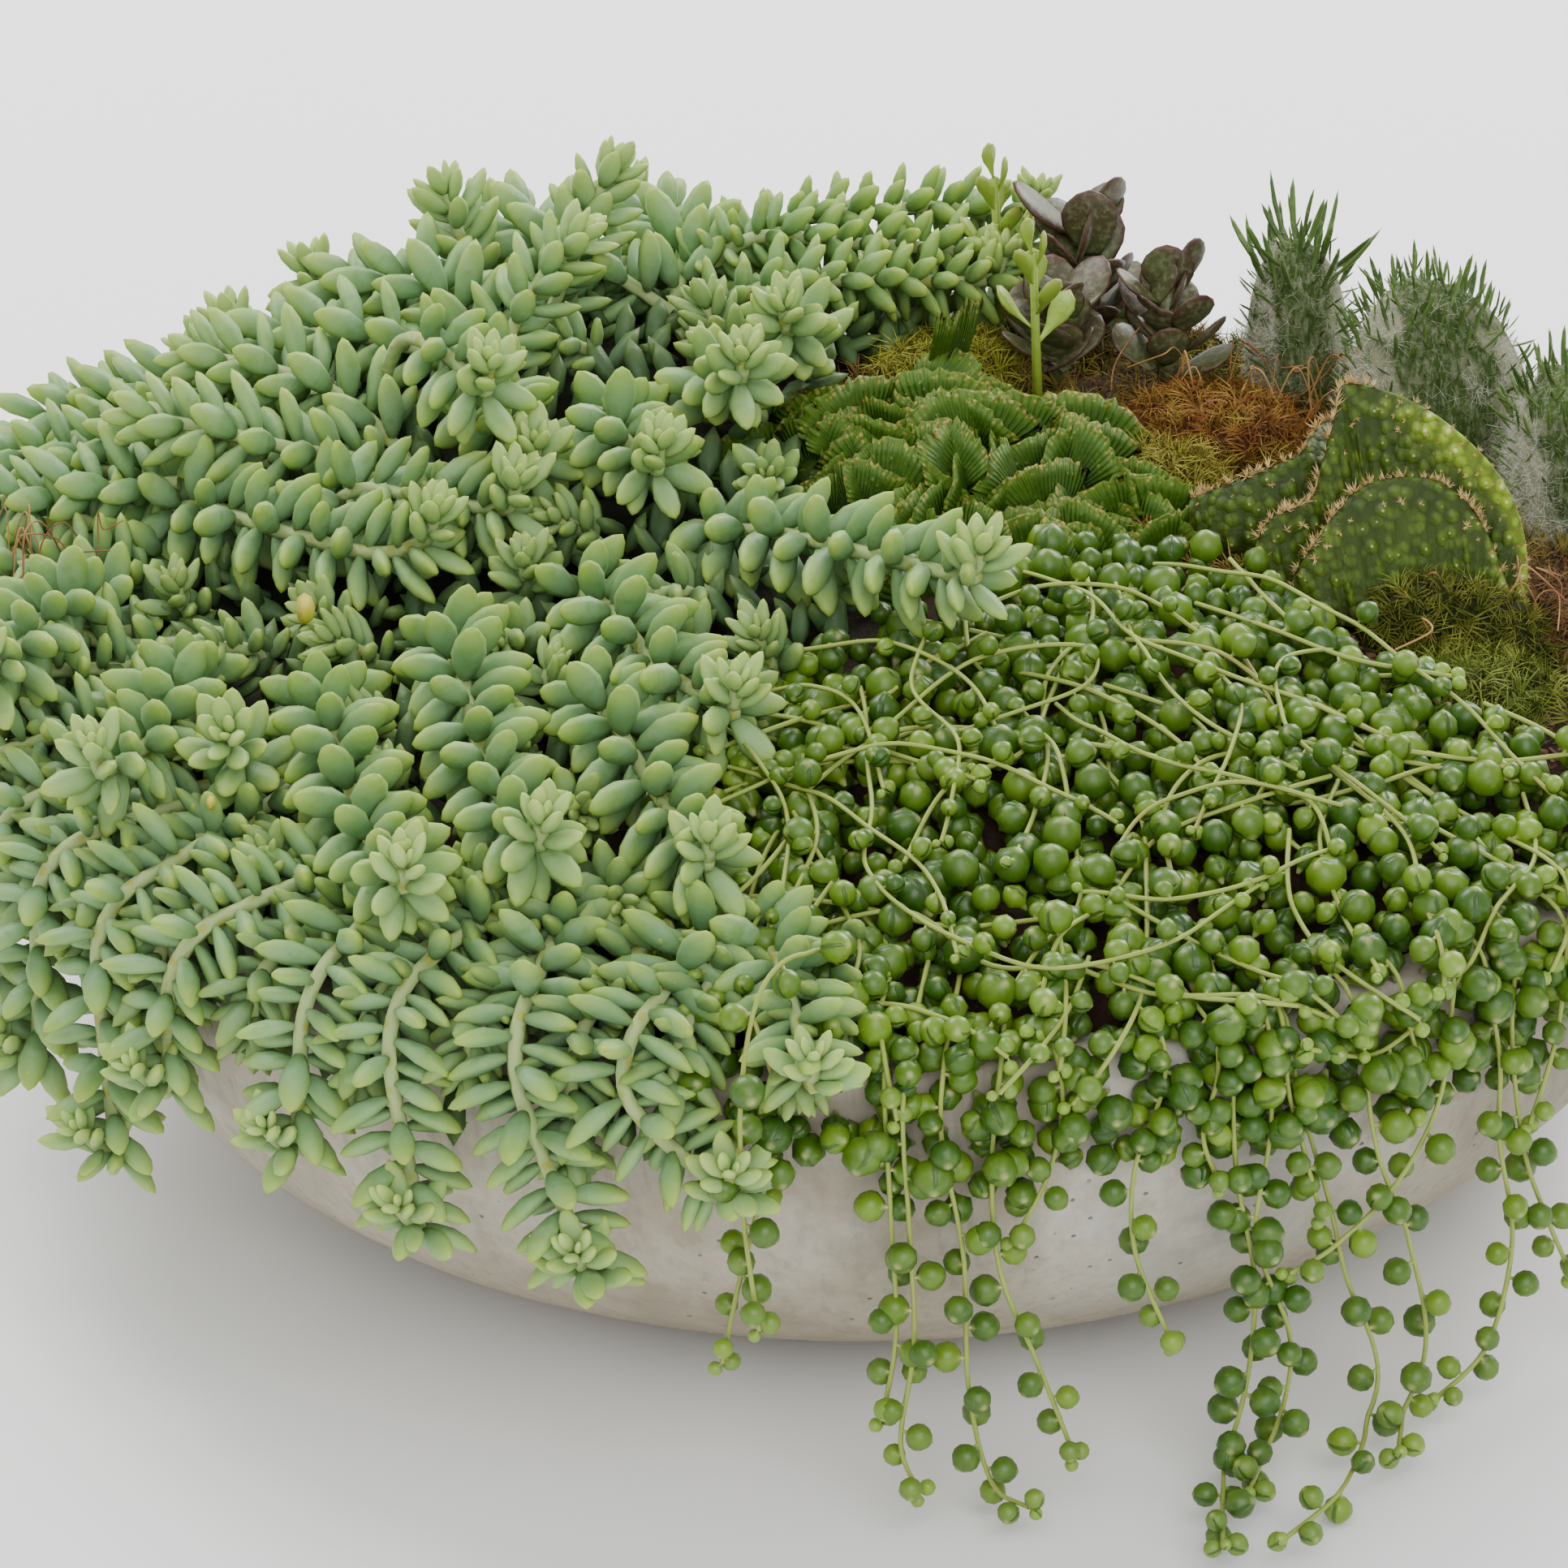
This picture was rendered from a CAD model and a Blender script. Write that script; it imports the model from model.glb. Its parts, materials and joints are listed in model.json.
# A shallow cast concrete bowl planted with succulents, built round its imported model.
import json
import math
import random

import bmesh
import bpy
from mathutils import Matrix, Vector, noise

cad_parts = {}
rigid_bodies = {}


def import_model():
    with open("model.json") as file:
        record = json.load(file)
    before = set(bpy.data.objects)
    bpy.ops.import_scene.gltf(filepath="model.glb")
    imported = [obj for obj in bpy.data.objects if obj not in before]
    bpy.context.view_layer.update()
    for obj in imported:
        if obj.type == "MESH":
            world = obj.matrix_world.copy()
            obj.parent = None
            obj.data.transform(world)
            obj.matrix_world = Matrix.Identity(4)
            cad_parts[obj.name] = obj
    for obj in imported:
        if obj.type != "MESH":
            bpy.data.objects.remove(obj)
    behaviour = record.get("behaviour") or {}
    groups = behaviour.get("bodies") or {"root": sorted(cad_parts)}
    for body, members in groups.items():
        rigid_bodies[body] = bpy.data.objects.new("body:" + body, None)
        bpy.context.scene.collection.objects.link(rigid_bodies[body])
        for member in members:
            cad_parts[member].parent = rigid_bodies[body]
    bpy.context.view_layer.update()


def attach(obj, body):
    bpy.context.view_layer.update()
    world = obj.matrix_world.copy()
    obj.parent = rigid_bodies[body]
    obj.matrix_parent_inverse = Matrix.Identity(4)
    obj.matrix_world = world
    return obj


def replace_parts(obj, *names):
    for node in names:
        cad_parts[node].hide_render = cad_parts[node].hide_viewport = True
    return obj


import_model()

MM = 0.001
# Without a seed, noise_vector would give something else in every run
NOISE_SEED = 1
noise.seed_set(NOISE_SEED)

# The camera looks down on the front of the bowl from a low angle, so close that the leaves on
# the left and right run out of the picture. It leans a little to one side.
CAMERA_ELEVATION = math.radians(26.15)
CAMERA_ROLL = math.radians(-2.93)
CAMERA_DISTANCE = 1.564
CAMERA_AIM = Vector((0, 0, 0.060))
CAMERA_ASIDE = -0.0244
CAMERA_RAISE = 0.012
CAMERA_LENS = 154.9

level_right = Vector((1, 0, 0))
looking = Vector((0, math.cos(CAMERA_ELEVATION), -math.sin(CAMERA_ELEVATION)))
level_up = level_right.cross(looking)
roll_right = level_right * math.cos(CAMERA_ROLL) + level_up * math.sin(CAMERA_ROLL)
roll_up = level_up * math.cos(CAMERA_ROLL) - level_right * math.sin(CAMERA_ROLL)
camera = bpy.data.objects.new("camera", bpy.data.cameras.new("camera"))
camera.data.lens = CAMERA_LENS
camera.data.sensor_width = 36
camera.matrix_world = Matrix((roll_right, roll_up, -looking)).transposed().to_4x4()
camera.location = CAMERA_AIM - looking * CAMERA_DISTANCE
camera.location += level_right * CAMERA_ASIDE + level_up * CAMERA_RAISE
bpy.context.scene.collection.objects.link(camera)
bpy.context.scene.camera = camera


# Soft light fills the room evenly, with one large pale lamp high on the left, behind the bowl, as
# a window would be, a fainter one in front and one over the table behind.
ROOM_STRENGTH = 0.82


def add_lamp(name, place, aim, size, power):
    lamp = bpy.data.objects.new(name, bpy.data.lights.new(name, "AREA"))
    lamp.data.size = size
    lamp.data.energy = power
    lamp.location = place
    lamp.rotation_euler = (Vector(aim) - Vector(place)).to_track_quat("-Z", "Y").to_euler()
    bpy.context.scene.collection.objects.link(lamp)


room = bpy.data.worlds.new("room")
room.use_nodes = True
room.node_tree.nodes["Background"].inputs["Color"].default_value = (1.0, 1.0, 1.0, 1)
room.node_tree.nodes["Background"].inputs["Strength"].default_value = ROOM_STRENGTH
bpy.context.scene.world = room
add_lamp("window", (-0.9, 1.0, 1.7), (0, 0.1, 0.05), 1.1, 42)
add_lamp("back", (1.5, 2.1, 1.4), (1.0, 1.2, 0), 1.4, 96)
add_lamp("front", (0.3, -1.7, 1.3), (0.05, -0.32, 0), 1.6, 33)


# The table under the bowl is a plain pale top.
FLOOR_HALF = 7
FLOOR_DROP = 0.3 * MM


class Wire:
    """An output of a node. A sum with it adds its Math node to the same tree."""

    def __init__(self, board, socket):
        self.board = board
        self.socket = socket

    def out(self, name):
        return Wire(self.board, self.socket.node.outputs[name])

    def maths(self, operation, *values, clamp=False):
        return self.board.add(
            "ShaderNodeMath", {"operation": operation, "use_clamp": clamp}, values
        )

    def __add__(self, other):
        return self.maths("ADD", self, other)

    def __sub__(self, other):
        return self.maths("SUBTRACT", self, other)

    def __rsub__(self, other):
        return self.maths("SUBTRACT", other, self)

    def __mul__(self, other):
        return self.maths("MULTIPLY", self, other)

    def __truediv__(self, other):
        return self.maths("DIVIDE", self, other)

    def __pow__(self, other):
        return self.maths("POWER", self, other)

    __radd__ = __add__
    __rmul__ = __mul__

    def ramp(self, low, high):
        """0 below low, 1 above high, and even between them; high may be under low."""
        return self.maths("MULTIPLY_ADD", self, 1 / (high - low), low / (low - high), clamp=True)

    def exp(self):
        return self.maths("EXPONENT", self)

    def sine(self):
        return self.maths("SINE", self)


class Board:
    """A node tree, for a material or a geometry, that nodes are added to one by one."""

    def __init__(self, tree):
        self.tree = tree

    def add(self, kind, settings=None, values=(), output=0):
        node = self.tree.nodes.new(kind)
        for name, value in (settings or {}).items():
            setattr(node, name, value)
        pairs = values.items() if isinstance(values, dict) else enumerate(values)
        for key, value in pairs:
            for item in value if isinstance(value, list) else [value]:
                if isinstance(item, Wire):
                    self.tree.links.new(item.socket, node.inputs[key])
                else:
                    node.inputs[key].default_value = item
        return Wire(self, node.outputs[output]) if len(node.outputs) else None

    def mix(self, factor, first, second):
        """A colour between two colours."""
        pair = [colour if isinstance(colour, Wire) else (*colour, 1) for colour in (first, second)]
        return self.add("ShaderNodeMix", {"data_type": "RGBA"}, {0: factor, 6: pair[0], 7: pair[1]}, 2)

    def layered(self, tone, layers):
        """A colour with others laid over it in turn, each as thick as its factor."""
        for factor, colour in layers:
            tone = self.mix(factor, tone, colour)
        return tone


class Finish(Board):
    """A material: its colour, roughness and bump are set from nodes."""

    def __init__(self, name, roughness=0.6, soft=0.0, specular=0.5):
        self.material = bpy.data.materials.new(name)
        self.material.use_nodes = True
        super().__init__(self.material.node_tree)
        self.shader = self.tree.nodes["Principled BSDF"]
        self.place = self.add("ShaderNodeTexCoord", output=3)
        fixed = {"Roughness": roughness, "Specular IOR Level": specular}
        if soft:
            fixed.update({"Subsurface Weight": soft, "Subsurface Scale": 2 * MM})
        for socket, value in fixed.items():
            self.shader.inputs[socket].default_value = value

    def noise(self, scale, detail=3.0, stretch=None, rough=0.55):
        place = self.place
        if stretch:
            place = self.add("ShaderNodeMapping", None, {0: place, 3: stretch})
        return self.add("ShaderNodeTexNoise", None, {0: place, 2: scale, 3: detail, 4: rough})

    def cells(self, scale):
        """Distance to the nearest of evenly strewn points, with a colour for each point."""
        return self.add("ShaderNodeTexVoronoi", None, {0: self.place, 2: scale})

    def along(self):
        """How far round a leaf or crest a place is, and as its Y how far from the foot."""
        stretch = self.add("ShaderNodeUVMap", {"uv_map": "along"})
        return self.add("ShaderNodeSeparateXYZ", None, [stretch])

    def stored(self, name):
        """A value that the mesh carries for each leaf or point."""
        return self.add("ShaderNodeAttribute", {"attribute_name": name}, output=2)

    def around(self, middle, radius):
        """1 at a place on the piece, falling softly to 0 at a radius from it."""
        away = self.add("ShaderNodeVectorMath", {"operation": "DISTANCE"}, [self.place, middle], 1)
        return away.ramp(radius, 0)

    def finish(self, colour, roughness=None, bump=None, depth=0.5 * MM):
        for socket, value in (("Base Color", colour), ("Roughness", roughness)):
            if isinstance(value, Wire):
                self.tree.links.new(value.socket, self.shader.inputs[socket])
        if bump:
            normal = self.add("ShaderNodeBump", None, {"Height": bump, "Distance": depth})
            self.tree.links.new(normal.socket, self.shader.inputs["Normal"])
        return self.material


def mesh_object(name, form, smooth=False):
    """An object from a bmesh, which is then freed."""
    mesh = bpy.data.meshes.new(name)
    form.to_mesh(mesh)
    form.free()
    mesh.polygons.foreach_set("use_smooth", [smooth] * len(mesh.polygons))
    return bpy.data.objects.new(name, mesh)


def new_piece(name, form, finish):
    """A piece from a bmesh, whose faces are turned outward."""
    bmesh.ops.recalc_face_normals(form, faces=form.faces)
    piece = mesh_object(name, form, smooth=True)
    piece.data.materials.append(finish)
    bpy.context.scene.collection.objects.link(piece)
    return piece


table_finish = Finish("table_top", roughness=0.8, specular=0.2)
table_tone = table_finish.noise(3.0, 2.0)
table_colour = table_finish.mix(table_tone, (0.915, 0.915, 0.921), (0.945, 0.945, 0.951))
form = bmesh.new()
bmesh.ops.create_grid(form, x_segments=1, y_segments=1, size=FLOOR_HALF)
bmesh.ops.translate(form, vec=(0, 0, -FLOOR_DROP), verts=form.verts)
new_piece("table_top", form, table_finish.finish(table_colour))


# The bowl is one casting in pale grey concrete. Its wall swells from a small flat foot to a wide
# rim, and the skin keeps the mottling, pinholes and streaks of the mould.
BOWL_RADIUS = 200 * MM
BOWL_HEIGHT = 105 * MM
FOOT_RADIUS = 105 * MM
WALL = 12 * MM
FLOOR = 14 * MM
RIM_ROUND = 3 * MM
RIM_STEPS = 5
WALL_STEPS = 22
BOWL_SEGMENTS = 160
CAST_UNEVEN = 0.5 * MM
CAST_UNEVEN_SCALE = 22
# The flat foot and the middle of the floor stay as they are turned
KEPT_TRUE = 1 * MM
PINHOLE_SCALE = 260
PATCH_AT = (0.056, -0.190, 0.060)
PATCH_EDGE = (0.022, 0.026)
STAIN_AT = (0.060, -0.176, 0.060)


def wall_arc(inset, steps, low):
    """Points up a side of the wall, from near its lowest place to the rim's level."""
    points = []
    top = BOWL_HEIGHT - RIM_ROUND
    for index in range(steps + 1):
        angle = (1 - index / steps) * math.pi / 2
        width = FOOT_RADIUS + (BOWL_RADIUS - inset - FOOT_RADIUS) * math.cos(angle)
        points.append((width, top - (top - low) * math.sin(angle)))
    return points


def join_rings(form, rings):
    """Faces between rings of corners. A pole is a ring that repeats its one corner."""
    for low, high in zip(rings, rings[1:]):
        for k in range(len(low)):
            after = (k + 1) % len(low)
            form.faces.new(list(dict.fromkeys([low[k], low[after], high[after], high[k]])))


def turned_form(profile, segments):
    """A closed turned form from a profile that starts and ends on the axis."""
    form = bmesh.new()
    rings = []
    for radius, height in profile:
        if radius == 0:
            rings.append([form.verts.new((0, 0, height))] * segments)
            continue
        ring = []
        for index in range(segments):
            angle = index / segments * 2 * math.pi
            ring.append(form.verts.new((radius * math.cos(angle), radius * math.sin(angle), height)))
        rings.append(ring)
    join_rings(form, rings)
    return form


def bowl_profile():
    outer = wall_arc(0, WALL_STEPS, 0)
    inner = wall_arc(WALL, WALL_STEPS, FLOOR)
    rim = []
    for index in range(1, RIM_STEPS * 2):
        angle = index / (RIM_STEPS * 2) * math.pi
        side = BOWL_RADIUS - RIM_ROUND if angle < math.pi / 2 else BOWL_RADIUS - WALL + RIM_ROUND
        height = BOWL_HEIGHT - RIM_ROUND * (1 - math.sin(angle))
        rim.append((side + RIM_ROUND * math.cos(angle), height))
    return [(0, 0), (FOOT_RADIUS * 0.6, 0)] + outer + rim + inner[::-1] + [(0, FLOOR)]


concrete = Finish("cast_concrete", specular=0.25)
broad = concrete.noise(14, 4)
mottle = concrete.noise(55, 5)
grain = concrete.noise(420, 3)
streaks = concrete.noise(9, 4, stretch=(1, 1, 0.12))
scratches = concrete.noise(26, 5, stretch=(0.25, 0.25, 3.2), rough=0.7)
brushed = concrete.noise(260, 4, stretch=(1, 1, 0.10), rough=0.65)
holes = concrete.cells(PINHOLE_SCALE)
hole_pick = concrete.add("ShaderNodeSeparateColor", None, [holes.out("Color")])
pinholes = holes.ramp(0.15, 0.05) * hole_pick.ramp(0.76, 0.90)
spot = concrete.add("ShaderNodeSeparateXYZ", None, [concrete.place])
low_down = spot.out("Z").ramp(0.060, 0.010)
patch = concrete.around(PATCH_AT, 0.060).ramp(0.1, 0.5) * spot.ramp(*PATCH_EDGE)
patch = patch * mottle.ramp(0.25, 0.60)
stain = concrete.around(STAIN_AT, 0.030) * mottle.ramp(0.42, 0.56)
skin = concrete.mix(broad.ramp(0.38, 0.62), (0.330, 0.288, 0.212), (0.540, 0.486, 0.380))
skin = concrete.layered(skin, [
    (mottle.ramp(0.42, 0.66) * 0.60, (0.560, 0.525, 0.450)),
    (streaks.ramp(0.46, 0.68) * 0.50, (0.290, 0.255, 0.195)),
    (scratches.ramp(0.60, 0.72) * 0.35, (0.66, 0.63, 0.57)),
    (brushed.ramp(0.48, 0.66) * 0.45, (0.260, 0.225, 0.165)),
    (patch * 0.8, (0.70, 0.68, 0.62)),
    (stain * 0.7, (0.20, 0.17, 0.13)),
    (low_down * mottle.ramp(0.35, 0.60) * 0.70, (0.300, 0.250, 0.150)),
    (pinholes * 0.7, (0.14, 0.12, 0.09)),
    (grain.ramp(0.35, 0.65) * 0.18, (0.25, 0.23, 0.19)),
])
relief = mottle * 0.5 + grain * 0.35 + brushed * 0.25 - pinholes * 1.2
concrete_skin = concrete.finish(skin, mottle * 0.15 + 0.78, relief, 0.6 * MM)

form = turned_form(bowl_profile(), BOWL_SEGMENTS)
for vertex in form.verts:
    if vertex.co.z > KEPT_TRUE and vertex.co.xy.length > KEPT_TRUE:
        uneven = noise.noise(vertex.co * CAST_UNEVEN_SCALE) * CAST_UNEVEN
        vertex.co.xy *= 1 + (uneven - CAST_UNEVEN * 0.6) / vertex.co.xy.length
bowl = new_piece("bowl_casting", form, concrete_skin)
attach(bowl, "root")
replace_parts(bowl, "bowl")


# The bowl is filled with dark peat soil, heaped up in the middle and at the back left. Its top is
# crumbly, with shreds of bark and root in it.
MOUND_RISE = 30 * MM
MOUND_POWER = 2.2
HUMMOCK_RISE = 25 * MM
HUMMOCK_AT = (-90 * MM, 105 * MM)
HUMMOCK_SPREAD = 60 * MM
SOIL_BELOW_BED = 1 * MM
SOIL_EDGE_DROP = 6 * MM
SOIL_GAP = 0.4 * MM
SOIL_RINGS = 40
SOIL_SEGMENTS = 110
SOIL_WALL_STEPS = 10
CRUMB_HEIGHT = 1.6 * MM
CRUMB_SCALE = 130
FINE_CRUMB_HEIGHT = 0.9 * MM
FINE_CRUMB_SCALE = 420


def bed_height(x, y):
    """Height of the surface that the plants lie on."""
    share = min(math.hypot(x, y), BOWL_RADIUS) / BOWL_RADIUS
    away = (x - HUMMOCK_AT[0]) ** 2 + (y - HUMMOCK_AT[1]) ** 2
    hummock = HUMMOCK_RISE * math.exp(-away / (2 * HUMMOCK_SPREAD**2)) * (1 - share**6)
    return BOWL_HEIGHT + MOUND_RISE * (1 - share**MOUND_POWER) + hummock


def soil_height(x, y):
    share = min(math.hypot(x, y) / BOWL_RADIUS, 1)
    return bed_height(x, y) - SOIL_BELOW_BED - SOIL_EDGE_DROP * share**8


def soil_profile():
    edge = BOWL_RADIUS - WALL - SOIL_GAP
    inner = wall_arc(WALL, SOIL_WALL_STEPS, FLOOR)
    wall = [(width - SOIL_GAP, height + SOIL_GAP) for width, height in inner]
    top = [(edge * (1 - index / SOIL_RINGS), BOWL_HEIGHT) for index in range(1, SOIL_RINGS)]
    return [(0, FLOOR + SOIL_GAP)] + wall + top + [(0, BOWL_HEIGHT)]


peat = Finish("potting_soil", specular=0.2)
clods = peat.noise(70, 5)
under_sedum = peat.around((-0.110, 0.0, 0.120), 0.160).ramp(0.1, 0.5)
shreds = peat.noise(160, 4, stretch=(1, 0.2, 1), rough=0.7)
fine = peat.noise(700, 3)
earth = peat.mix(clods.ramp(0.35, 0.7), (0.018, 0.011, 0.007), (0.052, 0.028, 0.016))
earth = peat.layered(earth, [
    (shreds.ramp(0.58, 0.70) * 0.6, (0.110, 0.055, 0.030)),
    (fine.ramp(0.66, 0.74) * 0.35, (0.22, 0.15, 0.10)),
    (under_sedum * 0.85, (0.008, 0.014, 0.005)),
])
peat_finish = peat.finish(earth, fine * 0.1 + 0.88, clods * 0.6 + shreds * 0.5 + fine * 0.3, 1.6 * MM)

form = turned_form(soil_profile(), SOIL_SEGMENTS)
for vertex in form.verts:
    x, y, z = vertex.co
    if z > BOWL_HEIGHT - RIM_ROUND / 2:
        crumb = noise.noise(Vector((x, y, 0)) * CRUMB_SCALE) * CRUMB_HEIGHT
        crumb += noise.noise(Vector((x, y, 1)) * FINE_CRUMB_SCALE) * FINE_CRUMB_HEIGHT
        vertex.co.z = soil_height(x, y) + crumb - CRUMB_HEIGHT * 0.3
soil = new_piece("soil_fill", form, peat_finish)
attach(soil, "root")
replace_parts(soil, "potting_soil")


# Donkey's tail sedum fills the left half: fleshy tails that root in the soil, lie over the mound
# and hang down the bowl. Plump leaves with a dusty bloom stand all round each stem in a spiral,
# and close up into a paler rosette at the growing tip.
LOWEST_STEM = 8 * MM
ROUTE_STEPS = 10
ROUTE_START = 5
LEAF_LENGTH = 14.6 * MM
LEAF_WIDTH = 6.7 * MM
LEAF_BASE = 1.2 * MM
LEAF_CURL = 0.14
LEAF_SIDES = 8
LEAF_RINGS = [(0.04, 0.40), (0.20, 0.72), (0.48, 1.0), (0.74, 0.85), (0.91, 0.46)]
LEAF_FLAT = 0.64
LYING_LEAF = 1.08
HANGING_LEAF = 0.95
FAR_LEAF = 0.78
LEAF_PITCH = 1.72 * MM
HANGING_PITCH = 1.9 * MM
FIRST_LEAF_UP = 3 * MM
# How far a stem's leaves are drawn to its two sides, and how far those of a comb lean, in degrees
LYING_SIDEWAYS = 0.35
HANGING_SIDEWAYS = 0.75
COMB_LEAN = 82
TIP_STEP = 4
TIP_LIFT = 8
# Tails that show less have a plainer leaf, and the leaves on the ground one plainer still
PLAIN_LEAF_RINGS = [(0.05, 0.45), (0.28, 0.90), (0.60, 0.98), (0.88, 0.54)]
PLAIN_LEAF_SIDES = 7
PLAIN_LEAVED = ("sedum_front_left", "sedum_upper_left")
GROUND_LEAF_RINGS = [(0.05, 0.45), (0.32, 0.95), (0.72, 0.90)]
GROUND_LEAF_SIDES = 5
GOLDEN_TURN = math.radians(137.508)
# A carrier sheet's cells, in millimetres, measured across at this radius
BED_CELL = 3.5
BED_CELL_RADIUS = 150
STEM_SIDES = 6
# How much each leaf's turn, lean and size stray, in radians and as shares
TURN_WOBBLE = 0.10
LEAN_WOBBLE = 0.13
SIZE_WOBBLE = (0.88, 1.12)
# Leaves on a stem are set by which way is out from this place in the bowl
BOWL_HEART = (0, 0, 0.05)
# Each spray on the mound: its crown's place, and its stems as x, y and height over the bed
SEDUM_SPRAYS = {
    "over_pearls": ((-42, -6), [[(-24, -34, 17), (-6, -58, 24), (16, -80, 29)]]),
    "centre_long": ((-70, -30), [[(-60, -60, 16), (-50, -88, 18), (-36, -114, 22)]]),
    "centre_top": ((-60, 40), [[(-58, 16, 17), (-50, -10, 22)]]),
    "centre_rosette": ((-38, 46), [[(-34, 34, 20), (-30, 18, 28)]]),
    "front_middle": ((-66, -76), [[(-60, -104, 16), (-51, -134, 18), (-42, -162, 22)]]),
    "front_inner": ((-98, -42), [[(-93, -76, 16), (-88, -112, 18), (-82, -138, 22), (-76, -158, 28)]]),
    "front_outer": (
        (-126, -56), [[(-121, -88, 16), (-115, -120, 18), (-109, -148, 24), (-104, -166, 30)]],
    ),
    "front_left": ((-152, -32), [[(-156, -60, 17), (-160, -84, 22), (-168, -104, 30)]]),
    "front_rosette": ((-140, -84), [[(-141, -94, 18), (-142, -104, 30)]]),
    "left_middle": ((-168, 54), [[(-158, 30, 17), (-138, 4, 17), (-116, -18, 17), (-104, -24, 19)]]),
    "left_rim": ((-174, 12), [[(-182, -10, 22), (-188, -34, 30), (-196, -60, 34)]]),
    "upper_left": ((-131, 20), [[(-118, 11, 16), (-101, -1, 16), (-85, -13, 18)]]),
    "bare_stalk": ((-116, 58), [[(-108, 44, 30), (-98, 24, 38), (-88, 4, 38)]]),
    "upper_middle": ((-92, 50), [[(-86, 32, 16), (-78, 6, 16)], [(-78, 64, 24), (-66, 68, 36)]]),
    "standing": ((-76, 88), [[(-69, 96, 18), (-64, 103, 29), (-58, 107, 40)]]),
    "back_lying": ((-44, 122), [
        [(-20, 132, 26), (6, 142, 32), (24, 147, 34), (40, 149, 31)],
        [(-26, 116, 24), (-2, 124, 25), (20, 130, 25), (36, 134, 22)],
    ]),
    "back_lying_low": ((-44, 84), [[(-22, 96, 17), (6, 110, 19), (30, 118, 20)]]),
    "upper_rosette": ((-92, 109), [[(-95, 112, 26), (-98, 115, 40)]]),
    "back_rosette": ((-14, 68), [[(-16, 58, 20), (-18, 46, 26)]]),
}
BARE_LENGTHS = {"bare_stalk": 44 * MM}
HANGING_CROWN_RADIUS = 152
HANGING_START = 18
HANGING_START_UP = 8
HANGING_BARE = 8 * MM
# Each spray that hangs: its crown's azimuth, how high it arches, and for each stem its azimuth
# and reach at places past the crown
HANGING_SPRAYS = {
    "hang_front_a": (-103, 15, [
        [(-98, 190), (-96, 216)],
        [(-105, 196), (-106, 222), (-101, 242)],
    ]),
    "hang_front_b": (-116, 15, [
        [(-113, 196), (-112, 226), (-109, 262)],
        [(-120, 196), (-120, 226), (-119, 258)],
    ]),
    "hang_front_c": (-130, 15, [
        [(-126, 196), (-126, 222), (-127, 248)],
        [(-134, 196), (-136, 220), (-137, 246)],
    ]),
    "hang_left_a": (-146, 15, [
        [(-142, 196), (-143, 236), (-143, 270)],
        [(-149, 196), (-150, 226), (-152, 262)],
    ]),
    "hang_left_b": (-160, 15, [
        [(-156, 196), (-157, 236), (-157, 268)],
        [(-163, 196), (-163, 230), (-162, 274)],
    ]),
    "hang_left_c": (-174, 20, [
        [(-170, 196), (-170, 226), (-170, 258)],
        [(-177, 196), (-178, 230), (-179, 264)],
    ]),
    "hang_back_a": (171, 24, [[(175, 196), (175, 242)], [(168, 196), (168, 262)]]),
    "hang_back_b": (157, 26, [[(161, 196), (161, 240)], [(154, 196), (153, 256)]]),
    "hang_back_c": (143, 26, [[(147, 196), (147, 262)], [(140, 196), (139, 242)]]),
    "hang_back_d": (129, 22, [[(133, 196), (132, 250)], [(126, 196), (125, 264)]]),
    "hang_back_e": (115, 20, [[(119, 196), (118, 240)], [(112, 196), (111, 256)]]),
    "hang_back_f": (101, 18, [[(105, 196), (104, 262)], [(98, 196), (97, 238)]]),
}
RIDGE_CROWN_RADIUS = 112
RIDGE_MIDDLE = (136, 20)
RIDGE_REACH = 172
# Each spray over the back: its crown's azimuth, its height at the end, and its stems' azimuths
RIDGE_SPRAYS = {
    "ridge_a": (162, 40, [167, 157]),
    "ridge_b": (143, 30, [148, 138]),
    "ridge_c": (114, 30, [121, 108]),
}


def over_mound(x, y, up):
    """Point at a height above the bed, then over the rim, down the wall and out on the table."""
    radius = math.hypot(x, y)
    if radius <= BOWL_RADIUS:
        return Vector((x, y, bed_height(x, y) + up))
    past = radius - BOWL_RADIUS
    angle = min(past / up, math.pi / 2)
    fallen = max(past - up * math.pi / 2, 0)
    height = BOWL_HEIGHT + up * math.cos(angle) - fallen
    out = BOWL_RADIUS + up * math.sin(angle)
    if height < LOWEST_STEM:
        out += LOWEST_STEM - height
        height = LOWEST_STEM
    return Vector((x / radius * out, y / radius * out, height))


def curve_stations(points):
    """The spans of a smooth curve through points: the two ends of each and their neighbours."""
    ends = [points[0]] + list(points) + [points[-1]]
    return zip(ends, ends[1:], ends[2:], ends[3:])


def on_curve(span, t):
    """The values at a share of a span, in metres from millimetres."""
    values = []
    for a, b, c, d in zip(*span):
        bend = 2 * b + (c - a) * t + (2 * a - 5 * b + 4 * c - d) * t**2
        values.append((bend + (3 * b - a - 3 * c + d) * t**3) / 2 * MM)
    return values


def smooth_route(points, steps=ROUTE_STEPS):
    """Close places along the smooth curve through points given in millimetres."""
    route = []
    for span in curve_stations(points):
        route += [over_mound(*on_curve(span, step / steps)) for step in range(steps)]
    route.append(over_mound(*[value * MM for value in points[-1]]))
    return route


def turned_up(points):
    """The points of a lying tail, and two more where its tip lifts off what it lies on."""
    (ax, ay, low), (bx, by, up) = points[-2:]
    reach = math.hypot(bx - ax, by - ay)
    if up - low > reach * 0.5:
        return points
    x, y = (bx - ax) / reach * TIP_STEP, (by - ay) / reach * TIP_STEP
    return points + [(bx + x, by + y, up + TIP_LIFT * 0.4), (bx + x * 1.4, by + y * 1.4, up + TIP_LIFT)]


def polar_point(azimuth, radius, up):
    angle = math.radians(azimuth)
    return radius * math.cos(angle), radius * math.sin(angle), up


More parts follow.
